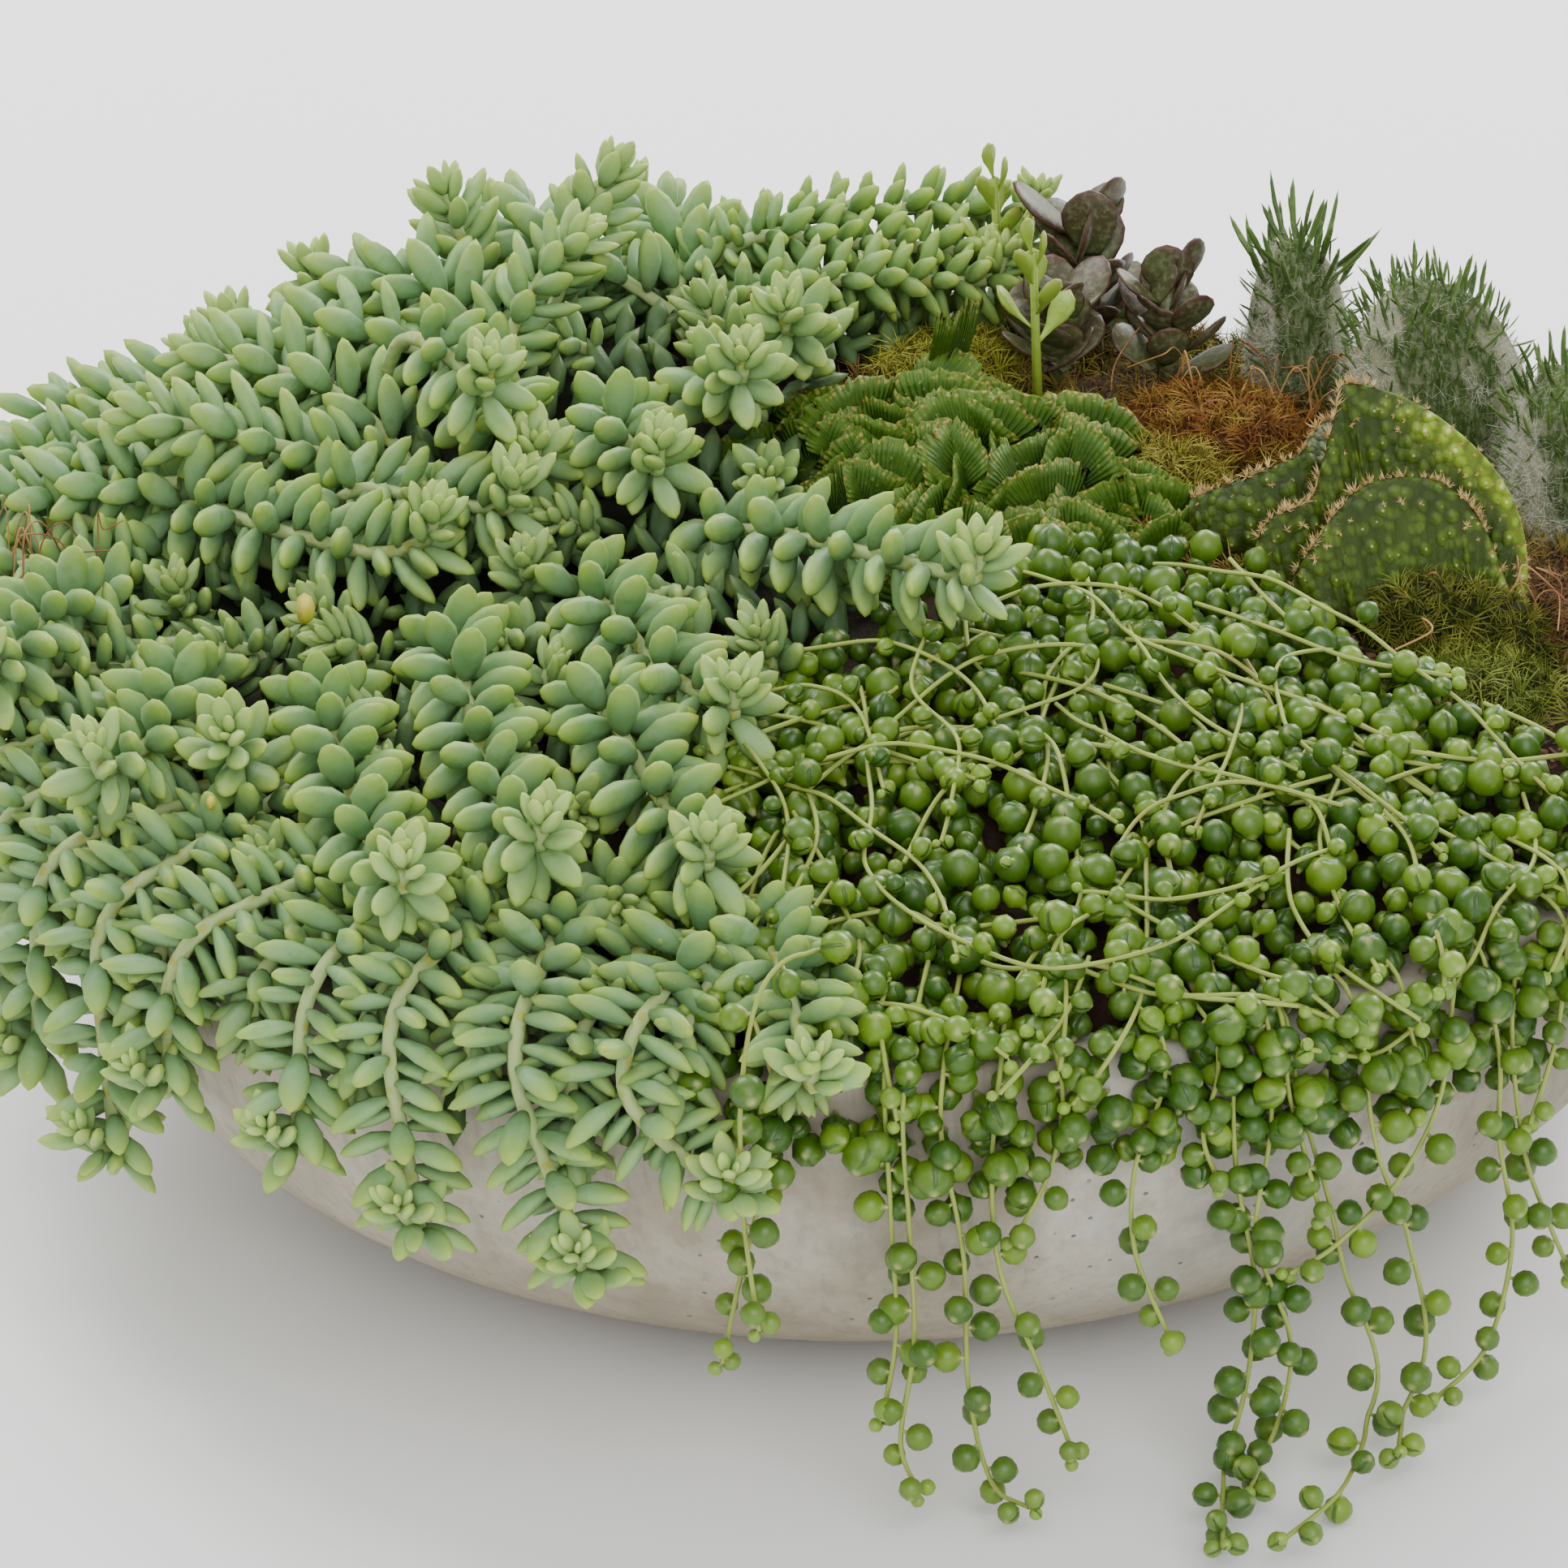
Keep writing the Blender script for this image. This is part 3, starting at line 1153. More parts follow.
# Strands that wander over the mats: how many to a degree, where they start, how they turn, their
# step in millimetres, their height over the bed, and their beads' sizes and spacings
WANDERERS = 0.7
WANDER_FROM = (60, 190)
WANDER_AIM = 75
WANDER_TURN = 0.6
WANDER_STEP = 21
WANDER_STEPS = (4, 6)
WANDER_UP = (7.5, 15)
WANDER_SIZES = (0.7, 1.0)
WANDER_SPACINGS = (9, 13, 20, 40)
# Long runners that lie over the beads
RUNNER_SWAY = 1.6 * MM
RUNNER_SWAY_SCALE = 55
RUNNER_BEADS = {"Pitch": 15 * MM, "Leaf size": 0.62, "Stem radius": 0.50 * MM}
RUNNERS = [
    [
        (-7, -94, 12), (-7, -140, 15), (-8, -162, 16), (6, -182, 17), (25, -192, 17), (48, -188, 17),
        (73, -165, 15),
    ],
    [(60, -42, 12), (82, -56, 17), (99, -74, 18), (124, -106, 16), (142, -128, 12)],
    [(51, -56, 14), (53, -84, 17), (64, -116, 17), (84, -126, 14)],
    [(-1, -110, 13), (17, -93, 17), (42, -90, 17), (39, -103, 16), (9, -113, 12)],
    [(-28, -91, 12), (-18, -99, 17), (-8, -112, 17), (-4, -132, 13)],
    [(43, -154, 13), (55, -141, 16), (76, -137, 17), (104, -141, 13)],
    [(-38, -104, 14), (-30, -126, 18), (-24, -150, 16), (-30, -178, 12)],
    [(88, -150, 13), (74, -164, 16), (52, -172, 16), (36, -166, 12)],
    [(20, -66, 13), (36, -60, 16), (52, -62, 16), (66, -72, 12)],
    [(-36, -120, 13), (-16, -140, 17), (2, -162, 17), (10, -188, 16)],
    [(34, -104, 13), (44, -122, 17), (62, -132, 17), (86, -134, 13)],
    [(66, -84, 13), (72, -104, 17), (70, -126, 17), (60, -148, 14)],
    [(-20, -78, 13), (-2, -84, 17), (14, -98, 17), (22, -118, 14)],
    [(30, -48, 12), (44, -66, 17), (56, -88, 17), (80, -102, 17), (104, -112, 13)],
    [(96, -78, 12), (84, -92, 17), (82, -112, 17), (92, -130, 17), (112, -148, 13)],
    [(-42, -134, 12), (-22, -128, 17), (0, -124, 17), (24, -134, 17), (44, -146, 13)],
    [(2, -64, 12), (8, -80, 17), (4, -102, 17), (12, -126, 17), (8, -150, 13)],
]


bead = Finish("pearl_bead", roughness=0.38, specular=0.45, soft=0.08)
bead_pick = bead.stored("pick")
bead_round = bead.along()
bead_along = bead_round.out("Y")
cloud = bead.noise(150, 3)
specks = bead.noise(1100, 2)
slit_away = bead_round - 0.5
slit = slit_away.maths("ABSOLUTE", slit_away).ramp(0.040, 0.012)
slit = slit * bead_along.ramp(0.28, 0.40) * bead_along.ramp(0.98, 0.90)
green = bead.mix(bead_pick ** 2.2, (0.029, 0.090, 0.004), (0.132, 0.238, 0.008))
green = bead.layered(green, [
    (cloud.ramp(0.45, 0.75) * 0.35, (0.220, 0.350, 0.040)),
    (bead.stored("young") * 0.6, (0.300, 0.460, 0.060)),
    (specks.ramp(0.64, 0.74) * 0.20, (0.300, 0.400, 0.150)),
    (slit * 0.75, (0.030, 0.075, 0.014)),
    (bead_along.ramp(0.93, 1.0) * 0.7, (0.420, 0.440, 0.160)),
    (bead_along.ramp(0.20, 0.10), (0.380, 0.430, 0.150)),
])
bead_finish = bead.finish(green, cloud * 0.16 + 0.30, cloud * 0.5 - slit * 0.8, 0.3 * MM)

runner = Finish("pearl_stem", roughness=0.55, specular=0.35)
runner_tone = runner.mix(runner.noise(80, 4), (0.200, 0.265, 0.040), (0.350, 0.430, 0.090))
runner_tone = runner.mix(runner.noise(30, 2).ramp(0.60, 0.75) * 0.5, runner_tone, (0.300, 0.170, 0.070))
runner_finish = runner.finish(runner_tone, None, runner.noise(500, 2), 0.2 * MM)

bead_form = leaf_form(BEAD_LENGTH, BEAD_WIDTH, 0, 0, BEAD_RINGS, BEAD_SIDES)
bead_pattern = pattern_object("pearl_bead", bead_form)
low_bead_form = leaf_form(BEAD_LENGTH, BEAD_WIDTH, 0, 0, LOW_BEAD_RINGS, LOW_BEAD_SIDES)
low_bead_pattern = pattern_object("low_bead", low_bead_form)
STRAND_GROWTH = {
    "Leaf": bead_pattern,
    "Leaf finish": bead_finish,
    "Stem finish": runner_finish,
    "Bare": 0.0,
    "Closing up": 2.5,
    "Stem radius": 0.55 * MM,
    "Leaf lean": math.radians(78),
    "Tip lean": math.radians(35),
    "Tip size": 0.45,
    "Leaf size": 0.98,
    "Darkest": 0.0,
    "Palest": 1.0,
    "Sideways": 0.0,
}


def wandering_line(draw, azimuth_from, azimuth_to):
    """A strand that wanders over the mat, out towards the rim, as points."""
    azimuth = draw.uniform(azimuth_from, azimuth_to)
    radius = draw.uniform(*WANDER_FROM)
    x, y, _ = polar_point(azimuth, radius, 0)
    heading = math.radians(azimuth + draw.uniform(-WANDER_AIM, WANDER_AIM))
    points = []
    for _ in range(draw.randint(*WANDER_STEPS)):
        if not inside(x, y, PEARL_BED):
            break
        points.append((x, y, draw.uniform(*WANDER_UP)))
        heading += draw.uniform(-WANDER_TURN, WANDER_TURN)
        x += WANDER_STEP * math.cos(heading)
        y += WANDER_STEP * math.sin(heading)
    return points if len(points) > 2 else None


draw = random.Random(11)
for seed, (node, (azimuth_from, azimuth_to)) in enumerate(PEARL_MATS.items()):
    meshes = []
    for up, spacing, sizes in BEAD_LAYERS:
        sheet = bed_sheet(PEARL_BED, azimuth_from, azimuth_to, BED_RADIUS_FROM, BED_RADIUS_TO, up)
        start = seed + round(up)
        meshes.append(strew(sheet, low_bead_pattern, bead_finish, spacing, sizes, (0, 75), start))
    lines = []
    for spacing, stops in PEARL_STRANDS[node]:
        up = draw.uniform(*STRAND_UP)
        points = [polar_point(*stop, up) for stop in stops]
        lines.append((points, draw.uniform(*STRAND_SIZES), spacing))
    for _ in range(round((azimuth_to - azimuth_from) * WANDERERS)):
        points = wandering_line(draw, azimuth_from, azimuth_to)
        if points:
            lines.append((points, draw.uniform(*WANDER_SIZES), draw.choice(WANDER_SPACINGS)))
    if node == "pearl_mat_front":
        lines.append(CROSSING_STRAND)
    for offset, (points, size, spacing) in enumerate(lines):
        values = dict(STRAND_GROWTH, Pitch=spacing * MM, Seed=seed * 100 + offset)
        values["Leaf size"] *= size
        if spacing < CLOSE_SPACING:
            values["Palest"] = CLOSE_PALEST
        meshes.append(grown_mesh(stem_tree, line_object(smooth_route(points)), values))
    mat = join_meshes(node + "_beads", meshes)
    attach(mat, "root")
    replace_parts(mat, node)

meshes = []
for seed, points in enumerate(RUNNERS, 900):
    route = []
    for place in smooth_route(points):
        route.append(place + noise.noise_vector(place * RUNNER_SWAY_SCALE) * RUNNER_SWAY)
    values = {**STRAND_GROWTH, **RUNNER_BEADS, "Seed": seed}
    meshes.append(grown_mesh(stem_tree, line_object(route), values))
runners = join_meshes("pearl_runners", meshes)
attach(runners, "root")


# The crested spurge is a cushion of deep green crests that grow close behind one another. Each
# crest spreads like a small shell, finely ribbed from its foot, with brown points on its edge.
# The cushion under the crests: middle x and y, half length and width, and height
SPURGE_BASE = (18, 18, 34, 40, 12)
SPURGE_BED = [
    (-30, 40), (-18, 6), (2, -18), (14, -38), (34, -34), (52, -18), (66, -10), (64, 10), (54, 32),
    (40, 44), (14, 50), (-12, 50),
]
CREST_START = (-34, -40)
CREST_GRID = (13, 13)
CREST_SPACING = 8.2
CREST_ROW_SQUEEZE = 0.87
CREST_JITTER = 2.4
CREST_REACHES = (7.5, 17.0)
CREST_SPREADS = (50, 80)
CREST_LEANS = (-0.05, 0.60)
CREST_TURN = 75
CREST_COLUMNS = 26
CREST_ROWS = 5
CREST_RIBS = 23
CREST_FOOT = 3 * MM
CREST_THICKNESS = 2.6 * MM
CREST_SINK = 4
# One crest stands up as a blade: foot x and y, reach, and how far it leans to the right
UPRIGHT_BLADE = (13, 50, 31, 9)
# How high a cushion is over the soil, and how thick its edge is
CUSHION_CLEAR = 0.7 * MM
CUSHION_EDGE = 0.8 * MM


def skin_rings(form, rings):
    """Joins rings of (corner, round, along) with faces that carry the two on, and closes the ends."""
    layer = form.loops.layers.uv["along"]
    for low, high in zip(rings, rings[1:]):
        for k in range(len(low)):
            after = (k + 1) % len(low)
            corners = [low[k], low[after], high[after], high[k]]
            face = form.faces.new([corner[0] for corner in corners])
            for loop, corner in zip(face.loops, corners):
                loop[layer].uv = corner[1:]
    for ring in (rings[0], rings[-1]):
        form.faces.new([corner[0] for corner in ring])


def crest_form(form, foot, turn, reach, spread, lean, slant, phase):
    """Adds one closed crest: a shell that fans out from its foot, wavy and jagged at its edge."""
    rings = []
    for column in range(CREST_COLUMNS + 1):
        across = column / CREST_COLUMNS * 2 - 1
        wave = math.sin(across * 2.6 + phase) * 0.17 + math.sin(across * 7 + phase * 2) * 0.05
        jag = 1 + 0.035 * (column % 2) + 0.03 * math.sin(column * 2.3 + phase)
        ring = []
        for row in range(2 * CREST_ROWS):
            rise = 1 - abs(1 - row / CREST_ROWS)
            face = 1 if row < CREST_ROWS else -1
            edge = math.sqrt(max(1 - rise**4, 0)) * math.sqrt(max(1 - across**6, 0))
            half = CREST_THICKNESS / 2 * (0.12 + 0.88 * edge)
            out = reach * rise * (wave * rise + lean) + face * half
            far = reach * rise * (jag if rise == 1 else 1)
            aside = far * math.sin(across * spread) + across * CREST_FOOT + slant * rise
            x = foot[0] + aside * math.cos(turn) - out * math.sin(turn)
            y = foot[1] + aside * math.sin(turn) + out * math.cos(turn)
            spot = form.verts.new((x, y, foot[2] + far * math.cos(across * spread)))
            ring.append((spot, column / CREST_COLUMNS, rise))
        rings.append(ring)
    skin_rings(form, rings)


def cushion_form(x, y, length, width, turn, thickness, sides=28, rings=8, rough=0.0):
    """A low cushion that follows the soil: flat underneath, domed and a little uneven on top."""
    form = bmesh.new()
    rows = []
    for row in range(rings + 2):
        under = row == rings + 1
        share = 1.0 if under else math.sin(row / rings * math.pi / 2)
        dome = 0.0 if under else math.cos(row / rings * math.pi / 2) ** 0.8
        ring = []
        for k in range(sides if row else 1):
            angle = k / sides * 2 * math.pi
            uneven = 1 + 0.10 * math.sin(3 * angle + x * 300) + 0.06 * math.sin(5 * angle + y * 300)
            across = math.cos(angle) * length * share * uneven
            along = math.sin(angle) * width * share * uneven
            px = x + across * math.cos(turn) - along * math.sin(turn)
            py = y + across * math.sin(turn) + along * math.cos(turn)
            bump = noise.noise(Vector((px, py, 0)) * 160) * rough * min(1, 2 * dome)
            lift = CUSHION_CLEAR + (0 if under else CUSHION_EDGE)
            lift += (thickness - CUSHION_EDGE) * dome + bump
            ring.append(form.verts.new((px, py, soil_height(px, py) + lift)))
        rows.append(ring if row else ring * sides)
    join_rings(form, rows)
    form.faces.new(rows[-1])
    return form


spurge = Finish("spurge_green", roughness=0.6, specular=0.2, soft=0.04)
crest_across = spurge.along()
crest_rise = crest_across.out("Y")
crest_ribs = (crest_across * (CREST_RIBS * 2 * math.pi)).sine()
crest_mottle = spurge.noise(170, 5, rough=0.7)
crest_points = spurge.cells(680)
crest_flecks = spurge.noise(520, 2).ramp(0.66, 0.72)
crest_specks = crest_points.ramp(0.40, 0.28) * crest_rise.ramp(0.88, 0.95)
crest_green = spurge.mix(crest_rise.ramp(0.30, 0.95), (0.007, 0.024, 0.002), (0.033, 0.092, 0.002))
crest_green = spurge.layered(crest_green, [
    (crest_ribs.ramp(0.0, 0.9) * 0.30, (0.054, 0.132, 0.004)),
    (crest_mottle.ramp(0.42, 0.62) * 0.55, (0.058, 0.122, 0.006)),
    (crest_rise.ramp(0.84, 0.99) * 0.45, (0.130, 0.210, 0.020)),
    (crest_flecks * 0.45, (0.260, 0.320, 0.090)),
    (crest_specks * 0.6, (0.420, 0.290, 0.070)),
])
crest_relief = crest_ribs * 0.35 + spurge.noise(520, 3) * 0.9
spurge_finish = spurge.finish(crest_green, None, crest_relief, 0.5 * MM)

middle_x, middle_y, length, width, height = SPURGE_BASE
sizes = [value * MM for value in (middle_x, middle_y, length, width)]
form = cushion_form(*sizes, 0, height * MM, rough=2 * MM)
form.loops.layers.uv.new("along")
draw = random.Random(41)
for column in range(CREST_GRID[0]):
    for row in range(CREST_GRID[1]):
        x = CREST_START[0] + (column + row % 2 / 2) * CREST_SPACING
        x += draw.uniform(-CREST_JITTER, CREST_JITTER)
        y = CREST_START[1] + row * CREST_ROW_SQUEEZE * CREST_SPACING
        y += draw.uniform(-CREST_JITTER, CREST_JITTER)
        if not inside(x, y, SPURGE_BED):
            continue
        away = ((x - middle_x) / length) ** 2 + ((y - middle_y) / width) ** 2
        up = height * max(1 - away, 0) ** 0.4 - CREST_SINK
        foot = (x * MM, y * MM, soil_height(x * MM, y * MM) + up * MM)
        turn = math.radians(draw.uniform(-CREST_TURN, CREST_TURN))
        reach = draw.uniform(*CREST_REACHES) * MM
        spread = math.radians(draw.uniform(*CREST_SPREADS))
        crest_form(form, foot, turn, reach, spread, draw.uniform(*CREST_LEANS), 0, draw.uniform(0, 6))
x, y, reach, slant = [value * MM for value in UPRIGHT_BLADE]
crest_form(form, (x, y, soil_height(x, y)), 0, reach, math.radians(5), 0.1, slant, 0)
spurge_piece = new_piece("spurge_fans", form, spurge_finish)
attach(spurge_piece, "root")
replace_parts(spurge_piece, "crested_spurge")


# The crested cactus grows as thick walls that fold back and forth and fan out upwards, with the
# broadest one on the right. Their faces are ribbed and knobbly, and pale spines stand in a line
# along each crest and in small tufts on the faces. The newest edge is yellow green.
# Each wall: foot x and y, crest x and y, and the crest's height
CACTUS_WALLS = {
    "fan": [
        (86, -38, 83, -35, 9), (87, -36, 84, -32, 15), (90, -33, 88, -30, 19), (96, -29, 94, -26, 20),
        (100, -26, 97, -20, 20), (103, -25, 100, -16, 28), (106, -24, 103, -9, 35),
        (110, -23, 106, -1, 39), (116, -24, 117, -6, 40), (122, -27, 127, -16, 39),
        (128, -31, 136, -24, 34), (133, -35, 141, -29, 27), (137, -38, 143, -33, 18),
        (139, -41, 141, -39, 9),
    ],
    "front_fold": [
        (92, -40, 91, -37, 8), (97, -43, 95, -37, 15), (103, -44, 101, -31, 21),
        (110, -44, 107, -26, 25), (117, -43, 115, -25, 28), (125, -43, 125, -27, 29),
        (132, -44, 133, -34, 24), (137, -46, 139, -43, 10),
    ],
    "left_fold": [
        (72, -6, 71, -2, 9), (79, -12, 79, -7, 15), (87, -15, 88, -8, 20), (94, -15, 95, -8, 24),
        (99, -11, 98, -2, 26), (104, 2, 103, 8, 26), (108, 12, 108, 18, 20),
    ],
}
CACTUS_THICKNESS = 10 * MM
CACTUS_STEP = 0.9 * MM
CACTUS_SECTION_STEPS = 21
CACTUS_RIB_PITCH = 4.4 * MM
CACTUS_RIB_DEPTH = 1.3 * MM
CACTUS_KNOB_SCALE = 320
CACTUS_KNOBS = 5
CACTUS_FOOT_CLEAR = 0.7 * MM
# Where along each wall the new growth starts, as a share of its length
YOUNG_FROM = {"fan": 0.50, "front_fold": 0.80, "left_fold": 2.0}


def fold_line(points):
    """Even places along the smooth line through a wall's stations, as (foot, crest) in metres."""
    line = []
    for span in curve_stations(points):
        crest_step = math.dist(span[1][2:], span[2][2:]) * MM
        steps = max(round(crest_step / CACTUS_STEP), 2)
        for step in range(steps):
            x, y, crest_x, crest_y, up = on_curve(span, step / steps)
            foot = Vector((x, y, soil_height(x, y) + CACTUS_FOOT_CLEAR))
            line.append((foot, Vector((crest_x, crest_y, bed_height(crest_x, crest_y) + up))))
    return line


cactus = Finish("cactus_green", roughness=0.55, specular=0.2, soft=0.04)
cactus_rise = cactus.along().out("Y")
cactus_rib = cactus.stored("rib")
cactus_young = cactus.stored("young")
cactus_mottle = cactus.noise(90, 4)
cactus_fine = cactus.noise(600, 3)
cactus_knobs = cactus.cells(CACTUS_KNOB_SCALE)
cactus_dome = cactus_knobs.ramp(0.62, 0.05)
cactus_dots = cactus_knobs.ramp(0.13, 0.09) * 0.5 + cactus_knobs.ramp(0.24, 0.17) * cactus_young
cactus_skin = cactus.mix(cactus_mottle.ramp(0.3, 0.7), (0.030, 0.058, 0.004), (0.080, 0.134, 0.009))
cactus_skin = cactus.layered(cactus_skin, [
    (cactus_rib * cactus_dome * 0.60, (0.115, 0.195, 0.018)),
    (cactus_young * (cactus_mottle * 0.5 + 0.6), (0.290, 0.430, 0.020)),
    (cactus_dome.ramp(0.45, 0.0) * 0.60, (0.016, 0.030, 0.004)),
    (cactus_fine.ramp(0.66, 0.74) * 0.30, (0.200, 0.260, 0.090)),
    (cactus_dots, (0.600, 0.540, 0.290)),
    (cactus_rib.ramp(0.40, 0.0) * 0.5, (0.026, 0.028, 0.008)),
    (cactus_rise.ramp(0.25, 0.0) * 0.6, (0.060, 0.040, 0.018)),
])
cactus_finish = cactus.finish(cactus_skin, None, cactus_dome * 0.7 + cactus_fine * 0.3, 1.2 * MM)

form = bmesh.new()
form.loops.layers.uv.new("along")
shades = {"rib": [], "young": []}
spine_places = []
for wall, stations in CACTUS_WALLS.items():
    line = fold_line(stations)
    count = len(line)
    walked = 0
    on_rib = False
    rings = []
    for index, (foot, crest) in enumerate(line):
        ahead = line[min(index + 1, count - 1)][1] - line[max(index - 1, 0)][1]
        walked += ahead.length / 2
        flow = line[min(index + 3, count - 1)][0] - line[max(index - 3, 0)][0]
        aside = flow.lerp(ahead, 0.5).cross(crest - foot).normalized()
        end = math.sin(math.pi * min(max(index / count, 0.03), 0.97)) ** 0.3
        rib = math.cos(walked / CACTUS_RIB_PITCH * 2 * math.pi)
        young = min(max((index / count - YOUNG_FROM[wall]) * 6, 0), 1)
        ring = []
        for step in range(CACTUS_SECTION_STEPS):
            turn = step / (CACTUS_SECTION_STEPS - 1) * math.pi
            rise = math.sin(turn) ** 0.55
            knob = 0.5 + 0.5 * math.cos(rise * CACTUS_KNOBS * 2 * math.pi)
            bulge = CACTUS_RIB_DEPTH * (0.5 + 0.5 * rib) * (0.45 + 0.55 * knob)
            half = CACTUS_THICKNESS / 2 * end * (0.75 + 0.25 * (1 - rise))
            spot = foot.lerp(crest, rise) + aside * math.cos(turn) * half
            outward = aside * (1 if turn < math.pi / 2 else -1) * min(2 - 2 * rise, 1)
            spot += outward * bulge
            ring.append((form.verts.new(spot), index / count, rise))
            shades["rib"].append(0.5 + 0.5 * rib * (0.4 + 0.6 * knob))
            shades["young"].append(young * min(max((rise - 0.80) * 9, 0), 1))
            if rib > 0.93 and not on_rib and knob > 0.72 and 0.15 < rise < 0.94:
                spine_places.append((spot, outward, 0.6))
            elif step == CACTUS_SECTION_STEPS // 2 and (index % 4 == 0 or young == 0):
                spine_places.append((spot, (crest - foot).normalized(), 1.0 - 0.5 * young))
            elif young and 0.80 < rise < 0.98 and index % 4 == step % 4:
                spine_places.append((spot, outward, 0.36))
        on_rib = rib > 0.93
        rings.append(ring)
    skin_rings(form, rings)
cactus_body = new_piece("cactus_wall", form, cactus_finish)
for name, values in shades.items():
    store(cactus_body, name, values)
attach(cactus_body, "root")
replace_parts(cactus_body, "crested_cactus")


# Pale brown spines grow in small tufts, closest along the crests. A share of the tufts has
# broken off.
SPINE_LENGTH = 3.0 * MM
SPINE_WIDTH = 0.34 * MM
SPINES_IN_TUFT = 10
SPINES_MISSING = 0.28
# Where along a blade its two pairs of corners are, under its tip
BLADE_SHARES = (0, 0.5)


def tuft_form(count, length, width, spread, curl=0.0, seed=1):
    """A small tuft of thin flat blades that rise from one foot and lean apart."""
    draw = random.Random(seed)
    form = bmesh.new()
    layer = form.loops.layers.uv.new("along")
    for _ in range(count):
        angle = draw.uniform(0, 2 * math.pi)
        lean = draw.uniform(0.1, 1.0) * spread
        long = length * draw.uniform(0.7, 1.1)
        out = Vector((math.cos(angle), math.sin(angle), 0))
        aside = Vector((-math.sin(angle), math.cos(angle), 0)) * width / 2
        spots = []
        for share in (*BLADE_SHARES, 1):
            bend = lean + curl * share
            rise = Vector((0, 0, math.cos(bend) * long * share))
            spots.append(out * math.sin(bend) * long * share + rise)
        tip = form.verts.new(spots.pop())
        shares = {tip: 1}
        pairs = []
        for share, spot in zip(BLADE_SHARES, spots):
            pair = (form.verts.new(spot - aside), form.verts.new(spot + aside))
            shares.update({pair[0]: share, pair[1]: share})
            pairs.append(pair)
        low, high = pairs
        faces = [form.faces.new((*low, high[1], high[0])), form.faces.new((*high, tip))]
        for face in faces:
            for loop in face.loops:
                loop[layer].uv = (0.5, shares[loop.vert])
    return form


spine = Finish("cactus_spines", roughness=0.7, specular=0.2)
spine_tone = spine.mix(spine.noise(200, 2), (0.360, 0.220, 0.080), (0.640, 0.470, 0.220))
spine_finish = spine.finish(spine_tone, None, spine.noise(900, 2), 0.1 * MM)
tuft = tuft_form(SPINES_IN_TUFT, SPINE_LENGTH, SPINE_WIDTH, 1.25, seed=3)
spine_tuft = mesh_object("spine_tuft", tuft)
draw = random.Random(21)
meshes = []
for place, outward, size in spine_places:
    if draw.random() < SPINES_MISSING:
        continue
    size *= draw.uniform(0.35, 1.15)
    copy = spine_tuft.data.copy()
    turn = outward.to_track_quat("Z", "Y").to_matrix().to_4x4()
    turn = turn @ Matrix.Rotation(draw.uniform(0, 6.3), 4, "Z")
    turn = turn @ Matrix.Rotation(draw.uniform(0, 0.9), 4, "Y")
    copy.transform(Matrix.Translation(place) @ turn @ Matrix.Scale(size, 4))
    copy.materials.append(spine_finish)
    meshes.append(copy)
spines = join_meshes("cactus_spines", meshes)
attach(spines, "root")


# Three woolly crested clumps stand along the back right. Slim green leaves stick out all over
# each one, and long white wool grows between them and hides the body.
# Each clump: middle x and y, half length and width, height, and leaf size
WOOLLY_CLUMPS = {
    "woolly_cactus_left": (105, 103, 12, 12, 42, 1.2),
    "woolly_cactus_middle": (134, 70, 22, 20, 44, 0.75),
    "woolly_cactus_right": (163, 28, 17, 19, 41, 0.7),
}
FINGER_LENGTH = 14 * MM
FINGER_WIDTH = 1.8 * MM
FINGER_RINGS = [(0.0, 0.5), (0.25, 0.85), (0.55, 1.0), (0.82, 0.7)]
CROWN_SPACING = 4.0 * MM
FLANK_SPACING = 3.4 * MM
WOOL_LENGTH = 7 * MM
WOOL_WIDTH = 0.06 * MM
WOOL_IN_TUFT = 9
WOOL_SPACING = 1.1 * MM
WOOL_LEAST = 0.40
THIN_WOOL_SPACING = 2.9 * MM
CROWN_LIFT = 1.5
FLANK_LIFT = 0.8

woolly = Finish("woolly_body", roughness=0.95, specular=0.1)
woolly_clouds = woolly.noise(300, 4, stretch=(1, 1, 0.4)).ramp(0.3, 0.7)
woolly_patches = woolly.stored("wool") + woolly_clouds * 0.7 - 0.3
woolly_tone = woolly.mix(woolly_patches.ramp(0.1, 0.8), (0.044, 0.078, 0.018), (0.300, 0.296, 0.200))
woolly_tone = woolly.mix(woolly.noise(60, 3).ramp(0.5, 0.7) * 0.5, woolly_tone, (0.120, 0.190, 0.050))
woolly_hair = woolly.noise(900, 4, stretch=(1, 1, 0.25), rough=0.7)
woolly_tone = woolly.mix(woolly_hair.ramp(0.48, 0.64) * 0.45, woolly_tone, (0.300, 0.320, 0.210))
woolly_finish = woolly.finish(woolly_tone, None, woolly.noise(500, 4), 1.2 * MM)
finger = Finish("woolly_leaf", roughness=0.5, specular=0.35)
finger_along = finger.along().out("Y")
finger_tone = finger.mix(finger.stored("pick"), (0.036, 0.082, 0.012), (0.105, 0.185, 0.032))
finger_tone = finger.mix(finger_along.ramp(0.3, 0.0) * 0.7, finger_tone, (0.300, 0.400, 0.160))
finger_tone = finger.mix(finger.noise(500, 3).ramp(0.55, 0.7) * 0.4, finger_tone, (0.260, 0.350, 0.150))
finger_finish = finger.finish(finger_tone, None, finger.noise(600, 2), 0.2 * MM)
wool = Finish("white_wool", roughness=0.95, specular=0.1)
wool_tone = wool.mix(wool.stored("pick"), (0.480, 0.476, 0.380), (0.740, 0.740, 0.660))
wool_finish = wool.finish(wool_tone, None, wool.noise(900, 2), 0.05 * MM)

